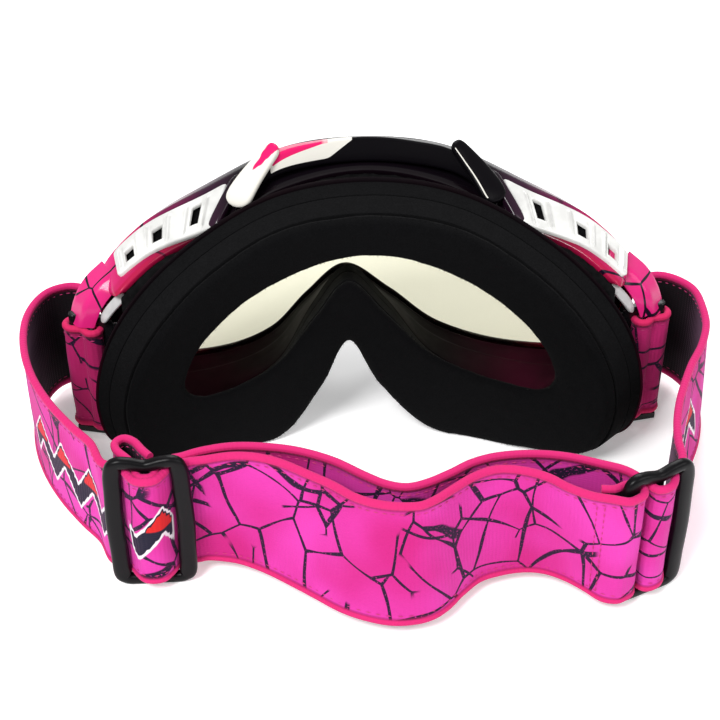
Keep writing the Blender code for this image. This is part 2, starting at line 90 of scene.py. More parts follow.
# Outlines and depths are the same drawing as the CAD's, in millimetres, at finer steps.
drawing = {
    "faceDepth": 8.0, "faceBend": 190.0,        # the face surface falls back by x * x / faceBend
    "foam": (6.0, 8.0, 4.4), "gap": 0.4,
    "lensDepth": 54.0, "lensBend": 220.0, "lensThick": 1.4, "lensGrip": 2.3, "play": 0.5,
    "wall": 2.0, "flange": 1.8, "fit": 0.35, "turn": 0.45,
    "rimDepth": 3.0, "shellDepth": 38.0, "shellBend": 170.0,
    "besideX": 66.0, "besideRun": 1400.0, "besideTop": 55.0, "besideFade": 6.0, "besideDepth": 16.5,
    "browUp": (0.35, -0.42, 0.84),              # out of the shell beside the brow
    "noseX": -6.0, "noseWide": 34.0, "noseFrom": 5.5, "noseFade": 1.5,
    "per": 14,                                  # stations between two points of an outline
}
drawing["back"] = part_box("lens")[1].y / mm - drawing["lensDepth"]

# half outlines (x, z) from the top centre round the cheek to the nose
halves = {
    "face": [(0, 77), (25, 74.5), (45, 65), (59, 53), (68, 39), (70.5, 23),
             (65, 6), (46, 0.6), (24, 1.2), (9, 18), (0, 35)],
    "base": [(0, 80), (27, 77.5), (49, 69), (67, 57), (78, 42), (81.5, 23),
             (76, 6), (55, 0.6), (27, 1.2), (12.5, 11), (0, 26)],
    "hole": [(0, 65), (18, 62), (35, 55), (47, 46), (53.5, 37), (55, 29),
             (49, 24.6), (36, 25.4), (23, 31), (11, 44), (0, 56)],
    "inner": [(0, 68), (19, 65), (37, 57.5), (50, 48), (57, 38), (60, 25),
              (54, 11.5), (37, 12.5), (23.5, 19.5), (11.5, 38), (0, 51)],
    "lens": [(0, 78), (24, 76.2), (46, 68.8), (63, 58.5), (73, 45), (74.5, 28),
             (66, 14), (46, 8.5), (28, 12), (14, 24), (0, 34)],
    "rim": [(0, 81.2), (25, 79.6), (49, 71.6), (70, 64.6), (82.5, 51), (80, 28),
            (71, 8.5), (47, 2.6), (24, 5.5), (11, 17), (0, 27.5)],
    "shell": [(0, 78.2), (26, 74.2), (47, 65.5), (66, 61), (79.5, 48), (77, 26),
              (69, 7.5), (50, 1.8), (26, 3.4), (13, 13), (0, 26)],
}


def faceY(x, z):
    return drawing["faceDepth"] - x * x / drawing["faceBend"]


def lensY(x, z):
    return drawing["lensDepth"] - x * x / drawing["lensBend"]


def flangeY(x, z):
    return faceY(x, z) + sum(drawing["foam"]) + drawing["gap"] * 3


def rimY(x, z):
    return lensY(x, z) - drawing["rimDepth"]


def shellY(x, z):
    # the shell's rear edge, which is held forward beside the arm
    d = drawing
    beside = np.clip((x * x - d["besideX"] ** 2) / d["besideRun"], 0, 1)
    below = np.clip((d["besideTop"] - z) / d["besideFade"], 0, 1)
    return d["shellDepth"] - x * x / d["shellBend"] + d["besideDepth"] * beside * below


def middle(inner, lens):
    # the outline where the inner wall turns from the flange towards the lens
    return inner + (lens - inner) * drawing["turn"]


def smooth(points, per, closed=False):
    # Catmull-Rom: each span is the cubic through its ends with slopes from their neighbours
    p = np.asarray(points, float)
    p = np.vstack([p[-1:], p, p[:2]] if closed else [2 * p[0] - p[1], p, 2 * p[-1] - p[-2]])
    t = (np.arange(per) / per)[:, None]
    spans = [0.5 * (2 * b + (c - a) * t + (2 * a - 5 * b + 4 * c - d) * t ** 2
                    + (3 * b - a - 3 * c + d) * t ** 3)
             for a, b, c, d in zip(p, p[1:], p[2:], p[3:])]
    return np.vstack(spans if closed else spans + [p[-2:-1]])


def evenly(path, gap):
    # the same line with a point at every gap of its length, measured over its first two columns
    run = np.r_[0, np.cumsum(np.linalg.norm(np.diff(path[:, :2], axis=0), axis=1))]
    at = np.linspace(0, run[-1], int(run[-1] / gap) + 1)
    return at, np.column_stack([np.interp(at, run, column) for column in path.T])


def whole(name, per=None):
    # the closed outline of a half outline, with its nose arch moved over by noseX
    half = np.asarray(halves[name], float)
    per = per or drawing["per"]
    loop = smooth(np.vstack([half, half[1:-1][::-1] * (-1, 1)]), per, closed=True)
    station = np.arange(len(loop)) / per
    fromTop = np.minimum(station, 2 * len(half) - 2 - station)
    below = np.clip((fromTop - drawing["noseFrom"]) / drawing["noseFade"], 0, 1)
    loop[:, 0] += drawing["noseX"] * np.exp(-(loop[:, 0] / drawing["noseWide"]) ** 2) * below
    loop[:, 1] = np.maximum(loop[:, 1], 0.0)
    return loop


def grown(loop, by):
    # every point moved out along the loop's own normal
    along = np.roll(loop, -1, 0) - np.roll(loop, 1, 0)
    normal = np.column_stack([-along[:, 1], along[:, 0]])
    return loop + by * normal / np.linalg.norm(normal, axis=1)[:, None]


def laid(loop, depth, ahead=0.0):
    # the loop (x, z) laid on the surface y = depth(x, z) + ahead
    return np.column_stack([loop[:, 0], depth(loop[:, 0], loop[:, 1]) + ahead, loop[:, 1]])


def onSide(points, side):
    # what is given for the wearer's right, carried over to a side
    return np.asarray(points, float) * (side, 1, 1)


def pivotOf(word):
    # the plan position of an arm's pin
    low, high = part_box("arm_pin_" + word)
    return np.array(((low.x + high.x) / 2 / mm, (low.y + high.y) / 2 / mm - drawing["back"]))


def unit(v):
    return v / np.maximum(np.linalg.norm(v, axis=-1, keepdims=True), 1e-9)


def section(loops, radius, fill=1, steps=3):
    # the polygon through the loops, each corner a quadratic curve between two points a radius from it,
    # and the straights between them cut into fill + 1 parts; returns stations by section points
    loops = np.asarray(loops, float)
    radius = np.broadcast_to(np.asarray(radius, float), len(loops))[:, None, None]
    toBefore, toAfter = np.roll(loops, 1, 0) - loops, np.roll(loops, -1, 0) - loops
    farBefore = np.linalg.norm(toBefore, axis=2, keepdims=True)
    farAfter = np.linalg.norm(toAfter, axis=2, keepdims=True)
    start = loops + unit(toBefore) * np.minimum(radius, 0.45 * farBefore)
    end = loops + unit(toAfter) * np.minimum(radius, 0.45 * farAfter)
    t = np.linspace(0, 1, steps + 1)[:, None, None, None]
    arcs = (1 - t) ** 2 * start + 2 * t * (1 - t) * loops + t * t * end
    s = (np.arange(1, fill + 1) / (fill + 1))[:, None, None, None]
    straights = end + (np.roll(start, -1, 0) - end) * s
    both = np.concatenate([arcs, straights]).swapaxes(0, 1)
    return both.reshape(-1, loops.shape[1], loops.shape[2]).swapaxes(0, 1)


def cornerField(values, fill=1, steps=3):
    # one number for each corner of a section, spread over the points that section() makes
    values = np.asarray(values, float)
    s = np.arange(1, fill + 1) / (fill + 1)
    straights = values[:, None] + (np.roll(values, -1) - values)[:, None] * s
    return np.concatenate([np.repeat(values[:, None], steps + 1, axis=1), straights], axis=1).ravel()


def lumps(points, size, seed=1):
    # value noise: random numbers at the corners of cells of that size, blended by a smooth step
    table = np.random.default_rng(seed).uniform(-1, 1, 4096)
    cell = np.floor(points / size).astype(int)
    f = points / size - cell
    f = f * f * (3 - 2 * f)
    total = 0
    for i in (0, 1):
        for j in (0, 1):
            for k in (0, 1):
                corner = (cell + (i, j, k)) @ (1, 157, 2371)
                share = np.prod(np.where((i, j, k), f, 1 - f), axis=-1)
                total = total + table[corner % 4096] * share
    return total


def outwards(grid, wrapRows=True, wrapCols=True):
    # unit normals of a grid of points, from its differences along rows and columns
    def slope(axis, wrap):
        return np.roll(grid, -1, axis) - np.roll(grid, 1, axis) if wrap else np.gradient(grid, axis=axis)
    return unit(np.cross(slope(0, wrapRows), slope(1, wrapCols)))


def awayFromMiddle(grid, wrapRows):
    # unit normals of a grid of closed sections, turned to point out of them
    normal = outwards(grid, wrapRows)
    return normal * np.sign(np.sum((grid[0] - grid[0].mean(0)) * normal[0]))


# A chunk is points in drawing millimetres, arrays of faces of one size each, and numbers at its points.
def closedBy(points, faces):
    # six times the volume inside the faces, by fans of triangles to the origin
    total = 0.0
    for block in faces:
        p = points[block]
        for i in range(1, block.shape[1] - 1):
            total += np.einsum("ij,ij->", p[:, 0], np.cross(p[:, i], p[:, i + 1]))
    return total


def chunk(points, faces, slot=0, **fields):
    faces = [np.asarray(block, int) for block in faces]
    if closedBy(points, faces) < 0:
        faces = [block[:, ::-1] for block in faces]
    return {"points": points, "faces": faces, "slot": slot, "fields": fields}


def skin(grid, wrapRows=False, slot=0, **fields):
    # quads over a grid whose columns run round the piece; open ends get a cap
    grid = np.asarray(grid, float)
    n, k = grid.shape[:2]
    r, c = np.arange(n if wrapRows else n - 1)[:, None], np.arange(k)[None, :]
    corners = ((r, c), (r + 1, c), (r + 1, c + 1), (r, c + 1))
    faces = [np.stack([(a % n) * k + b % k for a, b in corners], -1).reshape(-1, 4)]
    if not wrapRows:
        faces.append(np.array([np.arange(k), np.arange(n * k - 1, (n - 1) * k - 1, -1)]))
    flat = {name: np.broadcast_to(value, (n, k)).ravel() for name, value in fields.items()}
    return chunk(grid.reshape(-1, 3), faces, slot, **flat)


def slab(top, bottom, keep=None, slot=0, **fields):
    # two grids joined by walls round the quads that are kept
    n, k = top.shape[:2]
    keep = np.ones((n - 1, k - 1), bool) if keep is None else keep
    r, c = np.nonzero(keep)
    quad = np.stack([r * k + c, (r + 1) * k + c, (r + 1) * k + c + 1, r * k + c + 1], -1)
    padded = np.pad(keep, 1)
    edges = [(0, 1, padded[1:-1, :-2]), (1, 2, padded[2:, 1:-1]),
             (2, 3, padded[1:-1, 2:]), (3, 0, padded[:-2, 1:-1])]
    walls = [np.stack([quad[:, b], quad[:, a], quad[:, a] + n * k, quad[:, b] + n * k], -1)[~beside[r, c]]
             for a, b, beside in edges]
    faces = np.vstack([quad, quad[:, ::-1] + n * k] + walls)
    used, faces = np.unique(faces, return_inverse=True)
    flat = {name: np.tile(np.broadcast_to(value, (n, k)).ravel(), 2)[used] for name, value in fields.items()}
    points = np.vstack([top.reshape(-1, 3), bottom.reshape(-1, 3)])[used]
    return chunk(points, [faces.reshape(-1, 4)], slot, **flat)


def grains(centre, along, across, up, size, slot=0, **fields):
    # an eight-sided grain at each centre, pointed at both ends; size is its length, width and height
    half = np.array(size) / 2
    ends = [centre + along * half[0], centre + across * half[1], centre - along * half[0],
            centre - across * half[1], centre + up * half[2], centre - up * half[2]]
    points = np.stack(ends, 1).reshape(-1, 3)
    upper = [(0, 1, 4), (1, 2, 4), (2, 3, 4), (3, 0, 4)]
    pattern = np.array(upper + [(b, a, 5) for a, b, _ in upper])
    faces = (np.arange(len(centre))[:, None, None] * 6 + pattern).reshape(-1, 3)
    return chunk(points, [faces], slot, **{n: np.repeat(v, 6) for n, v in fields.items()})


def fibres(root, tip, thick):
    # a three-sided spike from each root to its tip
    way = unit(tip - root)
    side = unit(np.cross(way, (0.3, 0.5, 0.8)))
    other = np.cross(way, side)
    base = [root + thick * (side * math.cos(a) + other * math.sin(a)) for a in (0, 2.1, 4.2)]
    points = np.stack(base + [tip], 1).reshape(-1, 3)
    pattern = np.array([(0, 2, 1), (0, 1, 3), (1, 2, 3), (2, 0, 3)])
    faces = (np.arange(len(root))[:, None, None] * 4 + pattern).reshape(-1, 3)
    return chunk(points, [faces])


def linked(name, data):
    made = bpy.data.objects.new(name, data)
    bpy.context.scene.collection.objects.link(made)
    return made


def aimed(thing, way):
    # a camera or lamp turned to look along a direction
    thing.rotation_mode = "QUATERNION"
    thing.rotation_quaternion = way.to_track_quat("-Z", "Y")


def piece(name, chunks, looks, body=None, replaces=(), sharp=38):
    # one mesh of all the chunks, in metres in the row frame; looks are names of finishes
    start, faces, slots = 0, [], []
    for part in chunks:
        for block in part["faces"]:
            faces += (block + start).tolist()
            slots += (np.zeros(len(block), int) + part["slot"]).tolist()
        start += len(part["points"])
    points = (np.vstack([part["points"] for part in chunks]) + (0, drawing["back"], 0)) * mm
    mesh = bpy.data.meshes.new(name)
    mesh.from_pydata(points.tolist(), [], faces)
    mesh.polygons.foreach_set("material_index", slots)
    for field in sorted({f for part in chunks for f in part["fields"]}):
        values = [part["fields"].get(field, np.zeros(len(part["points"]))) for part in chunks]
        mesh.attributes.new(field, "FLOAT", "POINT").data.foreach_set("value", np.concatenate(values))
    for look in looks:
        mesh.materials.append(finishes[look])
    mesh.shade_smooth()
    mesh.set_sharp_from_angle(angle=math.radians(sharp))
    made = linked(name, mesh)
    if body:
        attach(made, body)
    if replaces:
        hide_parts(*replaces)
    return made


def polished(node, look, width, segments=3):
    # a copy of a CAD node with its loose triangles merged and its edges rounded
    made = linked(node + "_finished", frame["nodes"][node].data.copy())
    made.data.materials.clear()
    made.data.materials.append(finishes[look])
    weld = made.modifiers.new("weld", "WELD")
    weld.merge_threshold = 0.01 * mm
    edge = made.modifiers.new("edge", "BEVEL")
    edge.width, edge.segments, edge.limit_method = width * mm, segments, "ANGLE"
    edge.angle_limit = math.radians(32)
    made.data.shade_smooth()
    made.data.set_sharp_from_angle(angle=math.radians(180))
    turn = made.modifiers.new("turn", "WEIGHTED_NORMAL")
    turn.keep_sharp = True
    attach(made, body_of(frame["nodes"][node])[0])
    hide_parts(node)
    return made


def add(tree, kind, inputs=None, **settings):
    made = tree.nodes.new("ShaderNode" + kind)
    for name, value in settings.items():
        setattr(made, name, value)
    for key, value in (inputs or {}).items():
        if isinstance(value, bpy.types.NodeSocket):
            tree.links.new(value, made.inputs[key])
        else:
            made.inputs[key].default_value = value
    return made


def finish(name, colour, roughness, **sockets):
    # a Principled material; other sockets are given by their names with _ for a space
    material = bpy.data.materials.new(name)
    material.use_nodes = True
    shader = material.node_tree.nodes["Principled BSDF"]
    shader.inputs["Base Color"].default_value = (*colour, 1.0)
    shader.inputs["Roughness"].default_value = roughness
    for socket, value in sockets.items():
        shader.inputs[socket.replace("_", " ")].default_value = value
    return material, material.node_tree, shader


def maths(tree, operation, a, b=0.0, c=0.0, clamp=False):
    return add(tree, "Math", {0: a, 1: b, 2: c}, operation=operation, use_clamp=clamp).outputs[0]


def mixed(tree, share, a, b):
    made = add(tree, "Mix", {0: share}, data_type="RGBA", clamp_factor=True)
    for index, value in ((6, a), (7, b)):
        if isinstance(value, bpy.types.NodeSocket):
            tree.links.new(value, made.inputs[index])
        else:
            made.inputs[index].default_value = (*value, 1.0)
    return made.outputs[2]


def band(tree, value, low, high):
    # 0 up to low, 1 from high on, smooth between; low above high turns it round
    inputs = {0: value, 1: min(low, high), 2: max(low, high)}
    inputs.update({3: 0.0, 4: 1.0} if low < high else {3: 1.0, 4: 0.0})
    return add(tree, "MapRange", inputs, interpolation_type="SMOOTHSTEP").outputs[0]


def place(tree):
    return add(tree, "TexCoord").outputs["Object"]


def moved(tree, operation, vector, *others):
    inputs = dict(enumerate((vector, *others)))
    return add(tree, "VectorMath", inputs, operation=operation).outputs[0]


def field(tree, name):
    return add(tree, "Attribute", attribute_name=name).outputs["Fac"]


def noise(tree, vector, scale, detail=2.0, rough=0.5):
    inputs = {"Vector": vector, "Scale": scale, "Detail": detail, "Roughness": rough}
    return add(tree, "TexNoise", inputs).outputs[0]


def paint(tree, shader, colour):
    tree.links.new(colour, shader.inputs["Base Color"])


def roughen(tree, shader, value, gain, least):
    tree.links.new(maths(tree, "MULTIPLY_ADD", value, gain, least), shader.inputs["Roughness"])


def bump(tree, shader, height, strength, distance):
    made = add(tree, "Bump", {"Height": height, "Strength": strength, "Distance": distance * mm})
    tree.links.new(made.outputs[0], shader.inputs["Normal"])


def crackLines(tree, vector, scale, wide, seed, gap=0.36):
    # irregular polygons: the edges of Voronoi cells on a slightly warped plane, broken where noise is
    # under gap, and of varied width
    warp = add(tree, "TexNoise", {"Vector": vector, "Scale": scale * 0.7, "Detail": 0.0})
    warped = moved(tree, "SUBTRACT", warp.outputs[1], (0.5, 0.5, 0.5))
    warped = moved(tree, "MULTIPLY_ADD", warped, (0.5 / scale,) * 3, vector)
    shifted = moved(tree, "ADD", warped, (seed, seed * 0.37, seed * 0.71))
    cells = add(tree, "TexVoronoi", {"Vector": shifted, "Scale": scale, "Randomness": 1.0},
                feature="DISTANCE_TO_EDGE")
    width = maths(tree, "MULTIPLY_ADD", noise(tree, vector, scale * 1.6, 1.0), wide * 2.4, -wide * 0.2)
    line = maths(tree, "SUBTRACT", 1.0, maths(tree, "DIVIDE", cells.outputs[0], width), clamp=True)
    line = band(tree, line, 0.05, 0.35)
    gaps = band(tree, noise(tree, shifted, scale * 0.9, 1.0), gap, gap + 0.03)
    return maths(tree, "MULTIPLY", line, gaps)


def foamFinish(name, dark, light, grain, depth, sheen=0.0):
    material, tree, shader = finish(name, dark, 1.0, Sheen_Weight=sheen, Sheen_Roughness=0.6,
                                    Specular_IOR_Level=0.05)
    where = place(tree)
    cells = add(tree, "TexVoronoi", {"Vector": where, "Scale": grain}).outputs[0]
    wide = noise(tree, where, grain * 0.12, 3.0)
    share = maths(tree, "MULTIPLY_ADD", cells, 0.6, maths(tree, "MULTIPLY", wide, 0.5))
    paint(tree, shader, mixed(tree, share, dark, light))
    bump(tree, shader, maths(tree, "ADD", cells, wide), 0.7, depth)
    return material


frameTints = {
    "top": (0.0035, 0.0025, 0.004), "crack": (0.008, 0.003, 0.012),
    # dark purple, maroon, red and hot pink, each between two distances from the middle, in metres
    "fade": ((0.038, 0.050, (0.028, 0.007, 0.022)), (0.048, 0.062, (0.13, 0.006, 0.05)),
             (0.060, 0.074, (0.46, 0.009, 0.10)), (0.072, 0.083, (0.62, 0.016, 0.17))),
    "lip": ((0.0035, 0.0015, 0.003), (0.36, 0.006, 0.050)), "lipFade": (0.046, 0.070),
    "inside": ((0.0035, 0.002, 0.003), (0.032, 0.002, 0.009)), "insideDark": (0.004, 0.001, 0.002),
}


def frameFinish():
    # black over the brow, through dark purple and maroon to hot pink at the cheeks, with thin cracks
    material, tree, shader = finish("moulded frame", frameTints["top"], 0.16, Coat_Weight=0.12,
                                    Coat_Roughness=0.05, Specular_IOR_Level=0.2)
    where = place(tree)
    side = maths(tree, "ABSOLUTE", add(tree, "SeparateXYZ", {0: where}).outputs[0])
    drift = maths(tree, "MULTIPLY_ADD", noise(tree, where, 25.0), 0.012, maths(tree, "SUBTRACT", side, 0.006))
    outer = frameTints["top"]
    for low, high, colour in frameTints["fade"]:
        outer = mixed(tree, band(tree, drift, low, high), outer, colour)
    lip = mixed(tree, band(tree, drift, *frameTints["lipFade"]), *frameTints["lip"])
    colour = mixed(tree, band(tree, field(tree, "zone"), 0.80, 0.92), outer, lip)
    cracks = crackLines(tree, where, 48.0, 0.028, 3.0)
    cracks = maths(tree, "MULTIPLY", cracks, band(tree, side, 0.052, 0.066))
    paint(tree, shader, mixed(tree, cracks, colour, frameTints["crack"]))
    roughen(tree, shader, noise(tree, where, 300.0, 4.0), 0.12, 0.15)
    bump(tree, shader, noise(tree, where, 900.0, 3.0), 0.12, 0.05)
    return material


def insideFinish():
    # the frame's inner wall and flange: dark maroon, nearly black by the brow
    material, tree, shader = finish("frame inside", frameTints["insideDark"], 0.62, Specular_IOR_Level=0.03)
    where = place(tree)
    axes = add(tree, "SeparateXYZ", {0: where})
    side = band(tree, maths(tree, "ABSOLUTE", axes.outputs[0]), 0.022, 0.052)
    low = band(tree, axes.outputs[2], 0.045, 0.030)
    colour = mixed(tree, maths(tree, "MULTIPLY", side, low), *frameTints["inside"])
    shade = maths(tree, "MULTIPLY", band(tree, noise(tree, where, 60.0), 0.3, 0.7), 0.5)
    paint(tree, shader, mixed(tree, shade, colour, frameTints["insideDark"]))
    roughen(tree, shader, noise(tree, where, 220.0), 0.2, 0.62)
    bump(tree, shader, noise(tree, where, 900.0, 3.0), 0.15, 0.05)
    return material


def lensFinish():
    # clear sheet with a pale yellow-green tint: light passes straight through and a little is mirrored
    material = bpy.data.materials.new("clear lens")
    material.use_nodes = True
    tree = material.node_tree
    tree.nodes.remove(tree.nodes["Principled BSDF"])
    clear = add(tree, "BsdfTransparent", {0: (0.864, 0.856, 0.762, 1.0)})
    gloss = add(tree, "BsdfGlossy", {"Color": (0.9, 0.92, 0.9, 1.0), "Roughness": 0.03})
    rim = add(tree, "Fresnel", {"IOR": 1.45})
    both = add(tree, "MixShader", {0: rim.outputs[0], 1: clear.outputs[0], 2: gloss.outputs[0]})
    tree.links.new(both.outputs[0], tree.nodes["Material Output"].inputs["Surface"])
    return material


def plasticFinish(name, colour, roughness, grain=0.03, coat=0.0, gloss=0.5):
    material, tree, shader = finish(name, colour, roughness, Coat_Weight=coat, Coat_Roughness=0.08,
                                    Specular_IOR_Level=gloss)
    where = place(tree)
    shade = noise(tree, where, 120.0, 3.0)
    tint = tuple(c * 0.82 for c in colour)
    paint(tree, shader, mixed(tree, band(tree, shade, 0.35, 0.65), tint, colour))
    roughen(tree, shader, shade, 0.16, roughness - 0.08)
    bump(tree, shader, noise(tree, where, 1500.0, 3.0), 0.25, grain)
    return material


strapTints = {
    "crack": (0.012, 0.004, 0.022), "back": (0.0045, 0.0035, 0.0045), "seam": (0.22, 0.006, 0.06),
    # border, band and peaks of the zigzag, each from one value of the mark to another
    "mark": ((0.15, 0.25, (0.72, 0.68, 0.71)), (0.45, 0.55, (0.008, 0.008, 0.022)),
             (0.75, 0.85, (0.55, 0.012, 0.012))),
    # distances from the strap's middle, in metres, where its bound edge and the edge's seam begin and end
    "edge": (0.0167, 0.0171), "seamIn": (0.0161, 0.0167), "seamOut": (0.0173, 0.0169),
}


def strapFinish(name, deep, bright, edging):
    # woven elastic: fine ribs, pink face with dark cracks, black back, redder bound edges
    material, tree, shader = finish(name, bright, 0.8, Sheen_Weight=0.12, Sheen_Roughness=0.4,
                                    Sheen_Tint=(1.0, 0.5, 0.85, 1.0), Specular_IOR_Level=0.2)
    along, across, back = field(tree, "along"), field(tree, "across"), field(tree, "back")
    cloth = add(tree, "CombineXYZ", {0: along, 1: across}).outputs[0]
    colour = mixed(tree, band(tree, noise(tree, cloth, 30.0, 2.0), 0.3, 0.7), deep, bright)
    lines = maths(tree, "MAXIMUM", crackLines(tree, cloth, 54.0, 0.027, 1.3, 0.30),
                  crackLines(tree, cloth, 47.0, 0.022, 7.7, 0.45))
    fray = band(tree, noise(tree, cloth, 1500.0, 2.0), 0.22, 0.42)
    colour = mixed(tree, maths(tree, "MULTIPLY", lines, fray), colour, strapTints["crack"])
    mark = field(tree, "mark")
    for low, high, tone in strapTints["mark"]:
        colour = mixed(tree, band(tree, mark, low, high), colour, tone)
    colour = mixed(tree, band(tree, back, 0.4, 0.6), colour, strapTints["back"])
    edge = maths(tree, "ABSOLUTE", across)
    colour = mixed(tree, band(tree, edge, *strapTints["edge"]), colour, edging)
    seam = maths(tree, "MULTIPLY", band(tree, edge, *strapTints["seamIn"]),
                 band(tree, edge, *strapTints["seamOut"]))
    paint(tree, shader, mixed(tree, maths(tree, "MULTIPLY", seam, 0.55), colour, strapTints["seam"]))
    ribs = add(tree, "TexWave", {"Vector": cloth, "Scale": 420.0, "Distortion": 0.4}, bands_direction="Y")
    picks = add(tree, "TexWave", {"Vector": cloth, "Scale": 260.0, "Distortion": 0.6}, bands_direction="X")
    weave = maths(tree, "MULTIPLY_ADD", ribs.outputs[1], 0.6, picks.outputs[1])
    weave = maths(tree, "MULTIPLY_ADD", noise(tree, cloth, 900.0, 3.0), 0.8, weave)
    bump(tree, shader, weave, 0.45, 0.14)
    return material


browTints = {"black": (0.0025, 0.002, 0.003), "white": (0.70, 0.68, 0.62), "pink": (0.66, 0.012, 0.12)}


def browFinish():
    # black with a white lobe and a pink stripe on one side, and on the other a thin white line that is a
    # painted highlight
    material, tree, shader = finish("brow guard", browTints["black"], 0.3, Specular_IOR_Level=0.06)
    where, colour = place(tree), browTints["black"]
    # the white field holds the white print and also the painted highlight lines on the wearer's right
    for name in ("white", "pink"):
        colour = mixed(tree, band(tree, field(tree, name), 0.45, 0.55), colour, browTints[name])
    paint(tree, shader, colour)
    roughen(tree, shader, noise(tree, where, 250.0, 4.0), 0.15, 0.26)
    bump(tree, shader, noise(tree, where, 900.0, 3.0), 0.1, 0.05)
    return material


def steelFinish():
    material, tree, shader = finish("ground steel", (0.6, 0.6, 0.62), 0.3, Metallic=1.0)
    axes = add(tree, "Mapping", {0: place(tree), 3: (60.0, 60.0, 2500.0)}).outputs[0]
    turned = noise(tree, axes, 1.0, 3.0)
    roughen(tree, shader, turned, 0.25, 0.2)
    bump(tree, shader, turned, 0.2, 0.02)
    return material


finishes = {
    "frame": frameFinish(), "inside": insideFinish(), "lens": lensFinish(), "brow": browFinish(),
    "plate": plasticFinish("grey-white gloss plastic", (0.50, 0.50, 0.50), 0.22, coat=0.3),
    "strap": strapFinish("printed elastic", (0.47, 0.011, 0.17), (0.62, 0.040, 0.36), (0.56, 0.016, 0.14)),
    # the strap's end at the arm uses a darker copy of the printed elastic: painted shade, since that end lies
    # in shade
    "strapEndPaintedShade": strapFinish("printed elastic with painted shade at the arm", (0.42, 0.012, 0.11), (0.52, 0.016, 0.16),
                            (0.56, 0.015, 0.10)),
    "steel": steelFinish(),
    "base": foamFinish("foam charcoal", (0.0022, 0.0022, 0.0024), (0.0055, 0.0055, 0.006), 1500.0, 0.16),
    "core": foamFinish("foam black", (0.0026, 0.0026, 0.0028), (0.0065, 0.0065, 0.007), 1700.0, 0.14),
    "fleece": foamFinish("brushed fleece", (0.0012, 0.0012, 0.0014), (0.0035, 0.0035, 0.004), 2600.0, 0.12,
                         sheen=0.012),
    "vent": foamFinish("filter foam", (0.0008, 0.0008, 0.0008), (0.007, 0.007, 0.0075), 520.0, 0.7),
    "grille": plasticFinish("white vent plastic", (0.68, 0.68, 0.66), 0.35, coat=0.15),
    "slider": plasticFinish("satin black plastic", (0.0025, 0.0022, 0.003), 0.34, 0.06, gloss=0.14),
    "pinBlack": plasticFinish("gloss black plastic", (0.005, 0.005, 0.006), 0.25, 0.03, gloss=0.3),
    "thread": plasticFinish("pink thread", (0.52, 0.02, 0.16), 0.75, 0.1),
}
print("materials made")


shot = {"target": (0.0, 0.0, 45.0), "azimuth": -2.0, "elevation": 36.0, "far": 450.0,
        "aside": -2.98, "down": -8.93, "lens": 75.6}


def makeCamera():
    az, el = math.radians(shot["azimuth"]), math.radians(shot["elevation"])
    back = Vector((math.sin(az) * math.cos(el), -math.cos(az) * math.cos(el), math.sin(el)))
    right = Vector((math.cos(az), math.sin(az), 0.0))
    up = back.cross(right)
    data = bpy.data.cameras.new("camera")
    data.lens, data.sensor_width = shot["lens"], 36.0
    data.dof.use_dof = False
    data.clip_start, data.clip_end = 0.01, 20.0
    camera = linked("camera", data)
    target = Vector(shot["target"]) + Vector((0, drawing["back"], 0))
    camera.location = (target + back * shot["far"] + right * shot["aside"] + up * shot["down"]) * mm
    aimed(camera, -back)
    bpy.context.scene.camera = camera


stage = {
    "floorHalf": 3.0, "floorGlow": 0.3, "floorTones": (0.92, 0.94), "world": 0.48,
    # for each lamp its place, what it is aimed at, its width in metres and its power in watts
    "lamps": {"key": ((-0.55, -0.75, 1.15), (0, 0, 0.03), 0.55, 20),
              "fill": ((0.9, -0.5, 0.8), (0, 0, 0.03), 0.9, 5.5),
              "rear": ((0.1, 1.0, 0.9), (0, 0, 0.05), 0.8, 8)},
}


def makeStage():
    h = stage["floorHalf"]
    mesh = bpy.data.meshes.new("floor")
    mesh.from_pydata([(-h, -h, 0), (h, -h, 0), (h, h, 0), (-h, h, 0)], [], [(0, 1, 2, 3)])
    material, tree, shader = finish("pale floor", (0.93,) * 3, 0.95, Emission_Strength=stage["floorGlow"],
                                    Emission_Color=(1.0, 1.0, 1.0, 1.0))
    dark, light = ((tone,) * 3 for tone in stage["floorTones"])
    paint(tree, shader, mixed(tree, noise(tree, place(tree), 4.0), dark, light))
    mesh.materials.append(material)
    linked("floor", mesh)
    world = bpy.data.worlds.new("studio")
    world.use_nodes = True
    background = world.node_tree.nodes["Background"]
    background.inputs[0].default_value = (1.0, 1.0, 1.0, 1.0)
    background.inputs[1].default_value = stage["world"]
    bpy.context.scene.world = world
    bpy.context.scene.view_settings.view_transform = "Standard"
    for name, (at, aim, size, power) in stage["lamps"].items():
        data = bpy.data.lights.new(name, "AREA")
        data.shape, data.size, data.energy = "DISK", size, power
        lamp = linked(name, data)
        lamp.location = at
        aimed(lamp, Vector(aim) - Vector(at))


makeCamera()
makeStage()
print("camera and lights placed")


frameShape = {
    "round": 0.7, "seam": 0.86, "step": 0.45, "stepAt": (0.42, 0.50), "roofAt": 0.3, "wallFrom": 10.0,
    # the window's first and last outline point, and shares from rim to rear edge at its two ends
    "window": (1.9, 3.3, (0.27, 0.24), (0.76, 0.58)), "windowDeep": 3.5,
    "rib": [(38.2, 38.5, 76.6), (40.5, 34.5, 74.2), (43.2, 30, 71), (45.4, 26.4, 68), (46.6, 24.2, 65.6)],
    "ribWide": 1.9, "ribHigh": 1.5,
    "lugs": (6.45, 45.55), "lugWide": 3.1, "lugHigh": 1.35, "lugPast": 3.0, "lugIn": 3.2,
}


